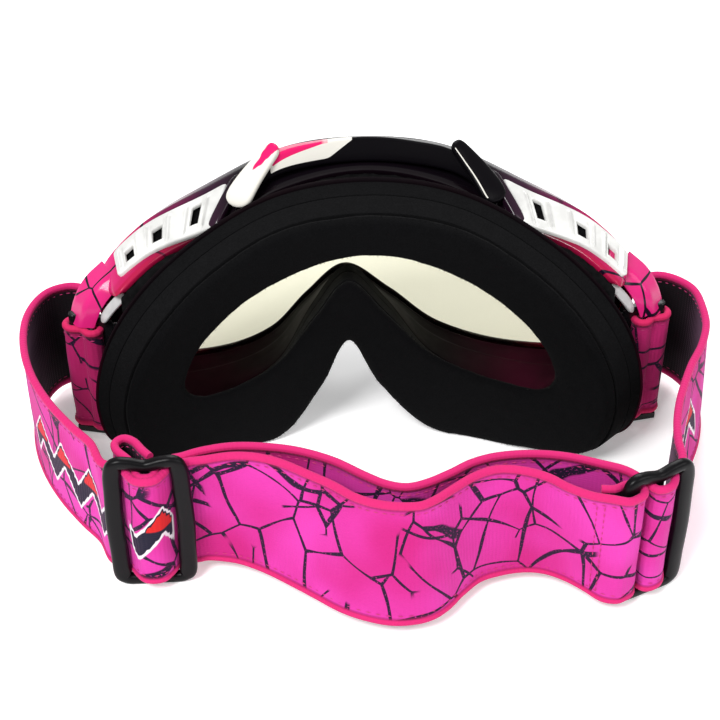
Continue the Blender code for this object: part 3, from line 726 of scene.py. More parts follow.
def frameLoops():
    # the closed loops of the moulding's section and their zones: up to 1 outside, 2 inside
    d, f = drawing, frameShape
    lens, rim, shell = whole("lens"), whole("rim"), whole("shell")
    inner, flange = whole("inner"), grown(whole("base"), 0.8)
    flange[:, 1] = np.maximum(flange[:, 1], 0.0)
    mid = middle(inner, lens)
    groove = grown(lens, d["lensGrip"] + d["play"])
    back = -d["lensThick"] - d["play"]
    a, b = laid(rim, rimY), laid(shell, shellY)

    def between(share, out):
        # a loop on the way from the rim to the shell's rear edge, moved out
        loop = laid(grown(rim + (shell - rim) * share, out), rimY)
        loop[:, 1] = a[:, 1] + (b[:, 1] - a[:, 1]) * share
        return loop

    bulge, roof = between(f["seam"], 0.5), between(f["roofAt"], -d["wall"])
    c = laid(grown(shell, -d["wall"]), shellY)
    near, far = laid(mid, flangeY, f["wallFrom"]), laid(lens, lensY, back - 2.0)
    stepOne, stepTwo = (near + (far - near) * share for share in f["stepAt"])
    ledge = grown(stepTwo[:, ::2], f["step"])
    stepTwo[:, 0], stepTwo[:, 2] = ledge[:, 0], ledge[:, 1]
    outside = [laid(lens, lensY, 2.0), laid(lens + (rim - lens) * 0.7, lensY, 2.4), a, bulge, b, c]
    channel = [roof, laid(grown(mid, d["wall"]), flangeY, f["wallFrom"]),
               laid(grown(inner, d["wall"]), flangeY, d["flange"]), laid(flange, flangeY, d["flange"])]
    inside = [laid(flange, flangeY), laid(inner, flangeY), near, stepOne, stepTwo, far,
              laid(lens, lensY, back), laid(groove, lensY, back), laid(groove, lensY, d["play"]),
              laid(lens, lensY, d["play"])]
    zones = [0.2, 0.2, 0.5, 0.85, 1.0, 1.2] + [2.0] * (len(channel) + len(inside) - 1) + [1.5]
    return outside + channel + inside, zones


def roundBar(plan, low, high, radius, edge=0.35, sides=40):
    # a turned bar: the radius follows a quarter circle of size edge at both ends
    a = np.linspace(0, math.pi / 2, 4)
    rise = np.r_[low, low + edge * (1 - np.cos(a)), high - edge * (1 - np.cos(a))[::-1], high]
    wide = np.r_[0.3, radius - edge * (1 - np.sin(a)), radius - edge * (1 - np.sin(a))[::-1], 0.3]
    turn = np.linspace(0, 2 * math.pi, sides, endpoint=False)
    grid = np.stack([plan[0] + wide[:, None] * np.cos(turn), plan[1] + wide[:, None] * np.sin(turn),
                     np.repeat(rise[:, None], sides, 1)], -1)
    return skin(grid)


def rodThrough(points, halfWide, halfHigh, up, power, sides=28):
    # a bar along the points whose section is |a/w|^power + |b/h|^power = 1, with b along up; its
    # second result is a, from -1 to 1 across the bar
    p = np.asarray(points, float)
    way = unit(np.gradient(p, axis=0))
    up = np.asarray(up, float) - np.sum(way * up, axis=1, keepdims=True) * way
    up = unit(up)
    across = np.cross(way, up)
    t = np.linspace(0, 2 * math.pi, sides, endpoint=False)
    a, b = (np.sign(w) * np.abs(w) ** (2 / power) for w in (np.cos(t), np.sin(t)))
    wide, high = (np.broadcast_to(w, len(p))[:, None, None] for w in (halfWide, halfHigh))
    grid = p[:, None] + across[:, None] * wide * a[:, None] + up[:, None] * high * b[:, None]
    return skin(grid), a


def patch(start, end, front, back, rows, cols, skew=0.0):
    # a grid over the shell's outer face; start and end count outline points from the top centre, front
    # and back are shares of the way from the rim to the rear edge at the two ends, and skew turns the
    # first end so that it runs on a slant
    per = 48
    a, b = laid(whole("rim", per), rimY), laid(whole("shell", per), shellY)
    rows, cols = np.broadcast_arrays(np.asarray(rows)[:, None], np.asarray(cols))
    at = (start + (end - start) * rows + skew * cols * (1 - rows)) * per
    low = np.floor(at).astype(int)
    part = (at - low)[..., None]
    edgeA = a[low] * (1 - part) + a[low + 1] * part
    edgeB = b[low] * (1 - part) + b[low + 1] * part
    near = front[0] + (front[1] - front[0]) * rows
    far = back[0] + (back[1] - back[0]) * rows
    share = near + (far - near) * cols
    grid = edgeA + (edgeB - edgeA) * share[..., None]
    return grid, -outwards(grid, False, False)


def makeFrame():
    f = frameShape
    loops, zones = frameLoops()
    grid = section(loops, f["round"], fill=2)
    zone = cornerField(zones, 2)
    inside = np.tile((zone + np.roll(zone, -1) > 3.4).astype(int), len(grid))
    chunks = [skin(grid, wrapRows=True, slot=inside, zone=zone[None])]
    made = piece("frame_moulding", chunks, ["frame", "inside"])
    cutters = []
    window, normal = patch(*f["window"], np.linspace(0, 1, 25), np.linspace(0, 1, 7)[None])
    for side in sides.values():
        block = slab(*(onSide(window + normal * deep, side) for deep in (f["windowDeep"], -f["windowDeep"])))
        cutter = piece("window_cutter", [block], [])
        opening = made.modifiers.new("window", "BOOLEAN")
        opening.operation, opening.solver, opening.object = "DIFFERENCE", "EXACT", cutter
        cutters.append(cutter)
    bpy.context.view_layer.update()
    done = bpy.data.meshes.new_from_object(made.evaluated_get(bpy.context.evaluated_depsgraph_get()))
    made.modifiers.clear()
    made.data = done
    for cutter in cutters:
        bpy.data.objects.remove(cutter)
    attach(made, "root")
    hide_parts("frame")
    # lugs hold the arms' pins, and a rib runs down beside the brow guard's fin
    lugs = []
    for word, side in sides.items():
        x, y = pivotOf(word)
        for centre in f["lugs"]:
            rear = flangeY(abs(x) - f["lugIn"], 0) + drawing["fit"]
            p = np.column_stack([np.full(9, x), np.linspace(rear, y + f["lugPast"], 9), np.full(9, centre)])
            squeeze = 1 - 0.25 * np.linspace(-1, 1, 9) ** 8
            lugs.append(rodThrough(p, f["lugWide"] * squeeze, f["lugHigh"] * squeeze, (0, 0, 1), 6.0)[0])
        rib = smooth(onSide(f["rib"], side), 10)
        ends = 1 - 0.6 * np.linspace(-1, 1, len(rib)) ** 8
        up = onSide(drawing["browUp"], side)
        lugs.append(rodThrough(rib, f["ribWide"] * ends, f["ribHigh"] * ends, up, 3.4)[0])
    piece("frame_lugs", lugs, ["frame"], "root", ["frame"], sharp=50)


makeFrame()
print("frame made")


# stations round the sheet and over its height, and how near its ends they start and stop
lensShape = {"columns": 161, "rows": 41, "reach": 0.988, "pinEdge": 0.35}


def makeLens():
    d, e = drawing, lensShape
    edge = grown(whole("lens", 24), d["lensGrip"])
    left, right = edge[:, 0].argmin(), edge[:, 0].argmax()
    upper = np.vstack([edge[left:], edge[:right + 1]])
    lower = edge[right:left + 1][::-1]
    turn = np.linspace(-0.5, 0.5, e["columns"]) * math.pi * e["reach"]
    x = np.interp(np.sin(turn), (-1, 1), (edge[left, 0], edge[right, 0]))
    top = np.interp(x, upper[:, 0], upper[:, 1])
    low = np.interp(x, np.maximum.accumulate(lower[:, 0]), lower[:, 1])
    z = low[:, None] + (top - low)[:, None] * np.linspace(0, 1, e["rows"])
    x = np.repeat(x[:, None], e["rows"], 1)
    front = np.stack([x, lensY(x, z), z], -1)
    sheet = slab(front, front - (0, d["lensThick"], 0))
    piece("lens_sheet", [sheet], ["lens"], "root", ["lens"])
    for side in ("left", "right"):
        polished("lens_pin_" + side, "pinBlack", e["pinEdge"])


makeLens()
print("lens made")


foamShape = {"round": (0.12, 0.15, 2.2), "swell": 0.175, "swellSize": 11.0, "grain": 0.10, "calm": 0.3,
             "grainSizes": (1.6, 0.9), "fine": 0.6, "offFloor": 0.2,
             "fibres": 9000, "fibre": (0.35, 1.1), "fibreThick": 0.035, "lean": 0.55, "sunk": 0.1}


def makeFoam():
    d, f = drawing, foamShape
    base, face, opening, inner = whole("base"), whole("face"), whole("hole"), whole("inner")
    total = sum(d["foam"]) + d["gap"] * 2
    front = total
    for index, (name, thick) in enumerate(zip(("base", "core", "fleece"), d["foam"])):
        back = front - thick
        outerFront = laid(face + (base - face) * front / total, faceY, front)
        outerBack = face + (base - face) * back / total
        holeFront = laid(opening + (inner - opening) * front / total, faceY, front)
        hole = opening + (inner - opening) * back / total
        if name == "fleece":
            edge = thick / 3
            loops = [outerFront, laid(outerBack, faceY, back + edge),
                     laid(grown(outerBack, -edge), faceY, back), laid(grown(hole, edge), faceY, back),
                     laid(hole, faceY, back + edge), holeFront]
        else:
            loops = [outerFront, laid(outerBack, faceY, back), laid(hole, faceY, back), holeFront]
        grid = section(loops, f["round"][index], fill=9)
        normal = awayFromMiddle(grid, True)
        swell = f["swell"] * lumps(grid, f["swellSize"], 4 + index)
        coarse, fine = f["grainSizes"]
        grain = f["grain"] * (lumps(grid, coarse, 8 + index) + f["fine"] * lumps(grid, fine, 12 + index))
        grid = grid + normal * (swell + grain)[..., None] * (1.0 if name == "fleece" else f["calm"])
        grid[..., 2] = np.maximum(grid[..., 2], 0.0)
        chunks = [skin(grid, wrapRows=True)]
        if name == "fleece":
            draw = np.random.default_rng(5)
            n, k = grid.shape[:2]
            r, c = draw.integers(0, n, f["fibres"]), draw.integers(0, k, f["fibres"])
            root = grid[r, c] - normal[r, c] * f["sunk"]
            lean = unit(normal[r, c] + draw.normal(0, f["lean"], (len(r), 3)))
            tip = root + lean * draw.uniform(*f["fibre"], (len(r), 1))
            keep = (tip[:, 2] > f["offFloor"]) & (root[:, 2] > f["offFloor"])
            chunks.append(fibres(root[keep], tip[keep], f["fibreThick"]))
        made = piece("face_" + name, chunks, [name], "root",
                     ["foam_" + name], sharp=80)
        front = back - d["gap"]


makeFoam()
print("face foam made")


ventShape = {
    # outline points, counted from the top centre, where each piece starts and ends
    "spans": {"top": (-1.75, 1.75), "upper_right": (2.0, 3.5), "upper_left": (-3.5, -2.0),
              "lower_right": (6.5, 8.5), "lower_left": (-8.5, -6.5)},
    "round": 0.9, "coarse": (0.28, 1.1), "broad": (0.22, 2.3),
}


def makeVentFoam():
    d, v = drawing, ventShape
    base, shell, inner = whole("base"), whole("shell"), whole("inner")
    clear = d["wall"] + d["fit"] + 0.2
    deep = d["flange"] + d["fit"]
    rails = [laid(grown(base, -0.6), flangeY, deep), laid(grown(shell, -0.8), shellY, -d["fit"]),
             laid(grown(middle(inner, whole("lens")), clear), shellY, -d["fit"]),
             laid(grown(inner, clear), flangeY, deep)]
    for name, (start, end) in v["spans"].items():
        pick = np.arange(round(start * d["per"]), round(end * d["per"]) + 1) % len(base)
        grid = section([smooth(rail[pick], 3) for rail in rails], v["round"], fill=16)
        normal = awayFromMiddle(grid, False)
        (high, size), (low, wide) = v["coarse"], v["broad"]
        rough = high * lumps(grid, size, 21) + low * lumps(grid, wide, 22) - low
        made = piece("vent_" + name, [skin(grid + normal * rough[..., None])], ["vent"], "root",
                     ["vent_foam_" + name], sharp=80)


makeVentFoam()
print("vent foam made")


grilleShape = {
    # outline points and shares across the shell, as for patch(); the right insert reaches farther round
    "ends": (1.7, 3.42), "longer": 0.17, "front": (0.21, 0.15), "back": (1.04, 0.76), "skew": 0.24,
    "thick": 1.4, "corner": 2.0, "edge": 0.6,
    "rib": 0.75, "ribWide": 0.5, "ribAway": 2.0, "hollow": 0.45, "hollowWide": 0.6, "hollowAway": 1.1,
    # for each slot its place along the plate, its width in millimetres, and its ends as shares across
    "slots": ((0.235, 2.6, 0.22, 0.70), (0.57, 3.2, 0.34, 0.75), (0.85, 3.3, 0.38, 0.76)),
    "parts": (26, 12, 22),                      # grid parts before a slot, over it and after the last
    "padIn": 0.7, "padRough": 0.2, "padDeep": 1.9,
}


def makeGrille(word, side):
    g = grilleShape
    span = (g["ends"][0], g["ends"][1] + g["longer"] * (side > 0), g["front"], g["back"])
    coarse = np.linspace(0, 1, 60)
    probe, _ = patch(*span, coarse, np.linspace(0, 1, 5)[None], g["skew"])
    long = np.linalg.norm(np.diff(probe[:, 2], axis=0), axis=1).sum()
    plain, over, after = g["parts"]
    breaks, counts = [0.0], []
    for at, width, _, _ in g["slots"]:
        breaks += [at - width / 2 / long, at + width / 2 / long]
        counts += [plain, over]
    breaks, counts = breaks + [1.0], counts + [after]
    u = np.concatenate([np.linspace(a, b, c, endpoint=False)
                        for a, b, c in zip(breaks, breaks[1:], counts)] + [[1.0]])
    wide = np.interp(u, coarse, np.linalg.norm(probe[:, -1] - probe[:, 0], axis=1))
    places = [slot[0] for slot in g["slots"]]
    low, high = (np.interp(u, places, [slot[i] for slot in g["slots"]])[:, None] for i in (2, 3))
    s = np.linspace(0, 1, 15)[None]
    v = np.concatenate([low * s[:, :-1], low + (high - low) * s[:, :-1], high + (1 - high) * s], axis=1)
    toEnd = np.minimum(u, 1 - u) * long
    # the outline pulls in along a quarter circle at both ends, which rounds the plate's corners
    inset = g["corner"] * (1 - np.sqrt(1 - np.clip(1 - toEnd / g["corner"], 0, 1) ** 2)) * 0.8
    inset, wide = (inset / wide)[:, None], wide[:, None]
    v = inset + (1 - 2 * inset) * v
    grid, normal = patch(*span, u, v, g["skew"])
    fromEdge = np.minimum(np.minimum(v - inset, 1 - inset - v) * wide, toEnd[:, None])
    height = np.zeros_like(v)
    keep = np.ones((len(u) - 1, v.shape[1] - 1), bool)
    # a low rib beside each slot and a shallow hollow between it and the slot, fading out at the edges
    across = np.clip((v - 0.10) / 0.10, 0, 1) * np.clip((0.92 - v) / 0.10, 0, 1)
    for index, (at, width, _, _) in enumerate(g["slots"]):
        along = (u[:, None] - at) * long
        away = np.maximum(np.abs(along) - width / 2, np.maximum(low - v, v - high) * wide)
        fromEdge = np.minimum(fromEdge, np.abs(away))
        first = sum(counts[:2 * index + 1])
        keep[first:first + over, 14:28] = False
        for turn in sides.values():
            offset = along - turn * (width / 2 + g["ribAway"])
            hollow = (offset + turn * g["hollowAway"]) / g["hollowWide"]
            height += g["rib"] * np.exp(-(offset / g["ribWide"]) ** 2) * across
            height -= g["hollow"] * np.exp(-hollow ** 2) * across
    drop = np.clip(1 - fromEdge / g["edge"], 0, 1)
    height -= g["edge"] * (1 - np.sqrt(1 - drop ** 2))
    top = grid + normal * (drawing["fit"] + g["thick"] + height)[..., None]
    bottom = grid + normal * (drawing["fit"] - 0.1)
    # filter foam lies in the shell's window, under the slots
    pad, out = patch(*frameShape["window"], np.linspace(0.01, 0.99, 60), np.linspace(0.03, 0.97, 24)[None])
    rough = lumps(pad, 1.0, 41)[..., None] * g["padRough"] - g["padIn"]
    chunks = [slab(onSide(top, side), onSide(bottom, side), keep),
              slab(onSide(pad + out * rough, side), onSide(pad - out * g["padDeep"], side), slot=1)]
    piece("grille_" + word, chunks, ["grille", "vent"], "root", ["vent_grille_" + word], sharp=60)


for word, side in sides.items():
    makeGrille(word, side)
print("grilles made")


browShape = {
    "backLow": [(39.5, 27, 70.5), (35.5, 31, 73.4), (27, 35.5, 77.6), (14, 38.5, 79.4), (0, 39.5, 80)],
    "top": [(39.5, 27.5, 71.5), (35.5, 31.5, 75.5), (27.5, 37.3, 84.0), (14, 40.2, 86.7), (0, 41.5, 87.6)],
    "front": [(41, 37, 73.8), (37, 42.5, 77), (27, 48.7, 80.1), (14, 51.4, 81.5), (0, 52.4, 82)],
    "under": [(40.5, 36, 73.2), (36.5, 41.5, 76.4), (27, 47, 79.5), (14, 49.9, 80.9), (0, 50.8, 81.3)],
    "fin": [(26.6, 39.4, 86.2), (28.2, 38.6, 85.0), (31.2, 36.8, 82.0), (34.6, 34.0, 78.6),
            (37.6, 30.8, 75.2), (39.8, 27.6, 72.0)],
    "finWide": 5.2, "finHigh": 1.5, "finTaper": (0.34, 0.66, 0.8), "round": 0.8,
    # in x, from the wearer's left: the white lobe's ends and its end's slant, the pink stripe's ends and
    # how long it takes to thin out, and the ends of the other side's white line, a painted highlight along the
    # top edge
    "lobe": (-29, -4.0, 9.0), "stripe": (-28, -11, 16.0), "line": (9, 25),
}


def step(value):
    # 0 below the zero of the value, 1 above it
    return np.clip(0.5 + value, 0, 1)


def makeBrow():
    b = browShape
    rails = []
    for name in ("backLow", "top", "front", "under"):
        half = np.asarray(b[name], float)
        rails.append(smooth(np.vstack([half, onSide(half[:-1], -1)[::-1]]), 16))
    fill, bend = 12, 4
    grid = section(rails, b["round"], fill)
    rise = cornerField([0.0, 1.0, 1.0, 0.0], fill)[None]
    x = grid[..., 0]
    facing = np.arange(grid.shape[1]) < 2 * (fill + bend) + bend
    # on the wearer's left the back face is white up to a slanted end, with a pink stripe along its top
    start, end, slant = b["lobe"]
    white = step(-0.5 * (x - (end - slant * (1 - rise)))) * step((rise - 0.2) * 8) * (x > start) * facing
    low, high, fade = b["stripe"]
    thin = 0.55 + 0.45 * np.clip((x - start) / fade, 0, 1)
    pink = step(6 * (rise - thin)) * (x < high) * (x > low) * facing
    # a thin white line along the top edge on the wearer's right: a painted highlight
    line = np.exp(-((rise - 0.97) / 0.03) ** 2) * ((x > b["line"][0]) & (x < b["line"][1])) * facing
    chunks = [skin(grid, white=np.maximum(white, line), pink=pink)]
    for side in sides.values():
        path = smooth(onSide(b["fin"], side), 12)
        s = np.linspace(0, 1, len(path))[:, None]
        taper = np.sqrt(np.clip(1 - np.abs(2 * s[:, 0] - 1) ** 7, 0.02, 1))
        least, more, power = b["finTaper"]
        wide = b["finWide"] * taper * (least + more * s[:, 0] ** power)
        rod, across = rodThrough(path, wide, b["finHigh"] * taper, onSide(drawing["browUp"], side), 2.8)
        if side < 0:            # a white fin whose tip is a pink wedge
            white, pink = np.ones(len(path) * len(across)), step(6 * (1.7 * (0.6 - s) - np.abs(across + 0.1)))
        else:                   # a black fin with a painted highlight: a white line along it
            white = np.exp(-((across - 0.80) / 0.07) ** 2) * (s > 0.15) * (s < 0.93)
            pink = np.zeros(white.size)
        rod["fields"] = {"white": white.ravel(), "pink": pink.ravel()}
        chunks.append(rod)
    piece("brow_moulding", chunks, ["brow"], "root", ["brow_guard"], sharp=50)


makeBrow()
print("brow guard made")


armShape = {
    "low": 8.2, "high": 43.8, "barrel": 2.8, "post": (89.5, 13.0), "postRadius": 1.6, "postEnds": (1.0, 44.5),
    # upright plates: their ends as shares of the way from pivot to post, bottom, top and thickness
    "webs": [(0.06, 0.42, 8.8, 43.2, 2.4), (0.36, 0.62, 0.7, 44.2, 2.7), (0.4, 0.98, 42.4, 44.4, 2.2),
             (0.45, 1.12, 0.4, 2.9, 5.0)],
    # rails of the cap over the post, from the frame's end down, for the wearer's right side
    "front": [(81.2, 25.0, 55.6), (85.8, 20.6, 52.4), (89.2, 17.0, 47.4), (91.6, 13.8, 41.2)],
    "crest": [(76.8, 15.6, 57.2), (80.8, 12.8, 53.8), (84.8, 10.4, 48.6), (87.6, 8.8, 41.8)],
    "lip": [(75.2, 10.8, 53.6), (77.2, 10.0, 50.6), (79.8, 9.2, 46.8), (82.4, 8.4, 41.8)],
    "under": [(80.2, 20.6, 52.6), (83.2, 17.4, 49.4), (85.2, 15.2, 46.2), (87.0, 13.4, 41.6)],
    "capRound": 1.1, "bulge": (0.5, -0.2, 0.25),
    "plate": [(72.8, 8.6, 53.6), (75.4, 8.4, 51.0), (78.0, 8.4, 47.8), (80.4, 8.6, 44.0)],
    "plateWide": 1.7, "plateThick": 0.6, "plateUp": (0.7, -0.6, 0.4),
}


def makeArm(word, side):
    a = armShape
    low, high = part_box("arm_pin_" + word)
    pivot, post = pivotOf(word), np.array(a["post"]) * (side, 1)
    turned = roundBar(pivot, low.z / mm, high.z / mm, (high.x - low.x) / 2 / mm)
    piece("hinge_pin_" + word, [turned], ["steel"], "root", ["arm_pin_" + word], sharp=60)
    node, body = ["strap_arm_" + word], "arm_" + word
    bars = [roundBar(pivot, a["low"], a["high"], a["barrel"]),
            roundBar(post, *a["postEnds"], a["postRadius"])]
    for start, end, bottom, top, thick in a["webs"]:
        way = np.linspace(start, end, 9)[:, None]
        p = np.column_stack([pivot + (post - pivot) * way, np.full(9, (bottom + top) / 2)])
        bars.append(rodThrough(p, thick / 2, (top - bottom) / 2, (0, 0, 1), 9.0, 48)[0])
    piece("arm_hinge_" + word, bars, ["pinBlack"], body, node, sharp=50)
    cap = section([smooth(onSide(a[name], side), 14) for name in ("front", "crest", "lip", "under")],
                  a["capRound"], fill=6)
    swell = np.sin(np.linspace(0, math.pi, len(cap)))[:, None, None]
    cap = cap + onSide(a["bulge"], side) * swell
    piece("arm_cap_" + word, [skin(cap)], ["frame"], body, node, sharp=45)
    path = smooth(onSide(a["plate"], side), 12)
    ends = np.sqrt(np.clip(1 - np.linspace(-1, 1, len(path)) ** 6, 0.1, 1))
    wide, thick = a["plateWide"] * ends, a["plateThick"] * ends
    plate = rodThrough(path, wide, thick, onSide(a["plateUp"], side), 3.4)[0]
    piece("arm_plate_" + word, [plate], ["plate"], body, node, sharp=50)


for word, side in sides.items():
    makeArm(word, side)
print("arms made")


sliderShape = {"wide": 23.6, "high": 45.0, "foot": 1.7, "bar": 5.0, "rail": 3.3, "thick": 3.2,
               "centre": 2.6, "centreThin": 0.85, "square": (0.85, 0.75)}
sliderAt = {"left": (-62.5, -57.5, 2.0), "right": (74.0, -66.5, 25.0)}


def sliderPoint(slider, u, v):
    # plan position in a slider: u along its width, v outwards, away from the head
    x, y, turn = sliderAt[slider]
    c, s = math.cos(math.radians(turn)), math.sin(math.radians(turn))
    return np.stack([x + u * c + v * s, y + u * s - v * c], -1)


def makeSlider(name):
    # a ring of rounded section along a bowed oblong, and a straight bar down its middle
    s = sliderShape
    w, h = (s["wide"] - s["bar"]) / 2, s["high"] - s["foot"]
    half = [(0, s["foot"]), (w * 0.55, 1.6), (w - 1.4, 2.0), (w - 0.1, 4.2), (w + 0.1, 12), (w + 0.4, 22.5),
            (w, 33), (w - 0.3, 40), (w - 1.6, h + 0.1), (w * 0.5, h + 0.2), (0, h - 0.9)]
    loop = smooth(np.vstack([half, np.array(half[1:-1])[::-1] * (-1, 1)]), 12, closed=True)
    way = unit(np.roll(loop, -1, 0) - np.roll(loop, 1, 0))
    normal = np.column_stack([way[:, 1], -way[:, 0]])
    upright = np.abs(way[:, 1]) ** 3
    halfWide = (s["rail"] + (s["bar"] - s["rail"]) * upright) / 2
    t = np.linspace(0, 2 * math.pi, 28, endpoint=False)
    a, b = (np.sign(w) * np.abs(w) ** power for w, power in zip((np.cos(t), np.sin(t)), s["square"]))
    flat = loop[:, None] + normal[:, None] * (halfWide[:, None] * a)[..., None]
    thick = s["thick"] / 2 * b[None] * np.ones(len(loop))[:, None]
    plan = sliderPoint(name, flat[..., 0], thick)
    ring = skin(np.concatenate([plan, flat[..., 1:]], -1), wrapRows=True)
    z = np.linspace(2.0, h - 1.0, 24)
    u = s["centre"] / 2 * a[None] * np.ones(24)[:, None]
    v = s["thick"] / 2 * s["centreThin"] * b[None] * np.ones(24)[:, None]
    bar = np.concatenate([sliderPoint(name, u, v), np.broadcast_to(z[:, None, None], (24, 28, 1))], -1)
    piece("slider_buckle_" + name, [ring, skin(bar)], ["slider"], "slider_" + name,
          ["slider_" + name], sharp=70)


for name in sides:
    makeSlider(name)
print("sliders made")


strapShape = {"width": 38.0, "thick": 1.4, "low": 3.5, "piping": 1.15, "step": 0.8,
              "stitch": (1.7, 0.42, 0.34), "pitch": 2.5, "stitchIn": 3.3, "rowPitch": 2.1, "ripple": 0.22,
              "band": {"pitch": 15.0, "high": 5.0, "down": 1.5, "thick": 2.5, "border": 1.3},
              "postRound": 2.75, "rod": (83.8, 9.8), "rodRound": 2.4, "waist": (86.9, 9.9)}


def strapSection():
    # across the width and out of the cloth: two flat faces joined by the two round bound edges
    s = strapShape
    half, r = s["width"] / 2 - s["piping"], s["piping"]
    flat = np.linspace(-(half - 0.9), half - 0.9, 21)
    turn = np.radians(np.linspace(128, -128, 13))
    across = np.r_[flat, half + r * np.cos(turn), flat[::-1], -(half + r * np.cos(turn))]
    face = np.full(21, s["thick"] / 2)
    out = np.r_[face, r * np.sin(turn), -face, -r * np.sin(turn)]
    back = np.r_[np.zeros(21), np.linspace(0, 1, 13), np.ones(21), np.linspace(1, 0, 13)]
    return across, out, back


def strapPath(plan, side):
    # points every step along the plan, with the cloth's own directions: along, up and out
    run, path = evenly(smooth(plan, 14), strapShape["step"])
    way = unit(np.gradient(path[:, :2], axis=0))
    out = np.column_stack([way[:, 1], -way[:, 0], np.zeros(len(way))]) * side
    lean = path[:, 2:3]
    up = unit(np.column_stack([np.zeros((len(way), 2)), np.full(len(way), strapShape["width"])]) - out * lean)
    along = np.column_stack([way, np.zeros(len(way))])
    out = unit(np.cross(up, along) * side * -1)
    height = np.full(len(way), strapShape["low"] + strapShape["width"] / 2)
    return {"run": run, "middle": np.column_stack([path[:, :2], height]), "along": along, "up": up, "out": out}


def strapChunks(path, first, last, marks=(), sewn=(), offset=0.0):
    s, band = strapShape, strapShape["band"]
    across, out, back = strapSection()
    m, along, up, o, run = (path[name][first:last + 1] for name in ("middle", "along", "up", "out", "run"))
    here = run[:, None] + 0 * across
    cloth = np.stack([here, across + 0 * here, np.full(here.shape, offset)], -1)
    ripple = s["ripple"] * lumps(cloth, 7.0, 31) * (np.abs(across) < 16.5)
    grid = m[:, None] + up[:, None] * across[:, None] + o[:, None] * out[:, None]
    grid = grid + o[:, None] * ripple[..., None]
    mark = np.zeros(here.shape)
    for low, high in marks:     # a zigzag band: black with a pale border and red peaks
        wave = 1 - 4 * np.abs((here / band["pitch"]) % 1.0 - 0.5)
        away = np.abs(across + band["down"] - band["high"] * wave) * 0.6 - band["thick"]
        away = np.maximum(away, np.abs(here - (low + high) / 2) - (high - low) / 2)
        border = np.clip((band["border"] - away) / band["border"], 0, 1)
        tone = np.where(across > 1.0, 0.7, 0.4)
        mark = np.maximum(mark, border * 0.3 + np.clip(-away / 0.5, 0, 1) * tone)
    chunks = [skin(grid, along=(here + offset) * mm, across=across * mm, back=back, mark=mark)]

    def frames(at):
        # places along the path with the cloth's directions there
        return (np.column_stack([np.interp(at, run, c) for c in v.T]) for v in (m, along, up, o))

    stitches = []
    p, t, u, n = frames(np.arange(run[0] + 1.0, run[-1] - 0.5, s["pitch"]))
    for edge in (-1, 1):
        for face in (-1, 1):
            where = u * edge * (s["width"] / 2 - s["stitchIn"]) + n * face * (s["thick"] / 2 + 0.05)
            stitches.append((p + where, t, u, n))
    for at in sewn:             # a row of stitches across the width
        if run[0] < at < run[-1]:
            row = np.arange(-15.0, 15.1, s["rowPitch"])[:, None]
            p, t, u, n = (v + 0 * row for v in frames([at]))
            for face in (-1, 1):
                stitches.append((p + u * row + n * face * (s["thick"] / 2 + 0.06), u, t, n))
    chunks.append(grains(*(np.vstack(rows) for rows in zip(*stitches)), s["stitch"], 1))
    return chunks


def planOf(points, slider=None):
    # plan points with their lean; those of a slider are given in its own directions
    p = np.array([tuple(q) + (0.0,) * (3 - len(q)) for q in points], float)
    if slider:
        p[:, :2] = sliderPoint(slider, p[:, 0], p[:, 1])
    return p


def nearest(path, x, y, start=0):
    return start + int(np.argmin(np.hypot(path["middle"][start:, 0] - x, path["middle"][start:, 1] - y)))


def makeStrap(word, other, plan, turned, third, cuts, spans, marks, sewn, offset):
    # one length of elastic from its post to where it is sewn to the other buckle, in four pieces; cuts are
    # where one ends and the next begins, spans are where each passes from one body to the next, and marks
    # and sewn rows are measured from the second cut and from the end
    path = strapPath(np.vstack(plan), turned)
    run, stops = path["run"], [0]
    for x, y in cuts:
        stops.append(nearest(path, x, y, start=stops[-1]))
    stops.append(len(run) - 1)
    marks = [(run[stops[2]] + low, run[stops[2]] + high) for low, high in marks]
    sewn = [run[-1] + back for back in sewn]
    bodies = ["arm_" + word, "root", "slider_" + word, "root", "slider_" + other]
    for index, part in enumerate(("side", "feed", third, "sewn")):
        first, last = stops[index:index + 2]
        made = piece("strap_%s_%s" % (word, part), strapChunks(path, first, last, marks, sewn, offset),
                     ["strap", "thread"], sharp=60)
        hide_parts("strap_" + word)
        start, end = (Vector((x, y + drawing["back"], 0)) * mm for x, y in spans[index])
        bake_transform(made, *bodies[index:index + 2], start=start, end=end)


# plan lines (x, y) or (x, y, lean), the first three for the wearer's right side
fromPost = [(86.4, 15.8), (85.8, 22), (86.4, 28.5), (89.4, 33), (94, 34.2)]
leftSide = [(99.5, 31.5), (103.0, 25.5), (104.7, 17), (104.3, 7), (101.8, -5), (97.5, -16.5), (91.5, -27.5),
            (84.5, -37.5), (78.5, -45)]
throughLeft = [(-12.5, -5.4), (-9.4, -3.1), (-7.4, -2.7), (-5.9, -0.9), (-4.3, 1.7), (-2.5, 3.8), (0, 4.4),
               (2.5, 3.8), (4.3, 1.7), (5.9, -0.9), (7.4, -2.7), (9.4, -3.1), (12.5, -3.6)]
outerRear = [(-47, -53), (-40, -53, 3), (-34, -54.5, 5.5), (-28, -57.5, 7), (-21, -62.5, 7.5), (-15, -67, 8),
             (-9, -72, 7.5), (-3, -75.2, 7.5), (4, -77, 8), (11, -76.5, 7), (16, -73.5, 6), (21, -68.5, 4.5),
             (27, -63.3, 3.5), (33, -61, 3), (40, -61, 0), (46, -62.8, -2.5), (51, -66.3, -4), (56, -70, -3)]
sewnRight = [(-14.6, 0.4), (-11.6, 3.0), (-9, 3.1), (-6.7, 2.6), (-5.4, 1.0), (-5.4, -1.0), (-6.7, -2.6),
             (-9, -3.0), (-12, -2.9), (-15.2, -4.6)]
rightSide = [(99, 31.5), (103.0, 25.5), (104.7, 17, 2), (103.7, 6, 2), (100.4, -5, 3), (95.7, -15, 4),
             (91.5, -23.5, 3), (87.5, -32, 1.5), (84.2, -41), (82.8, -49.5)]
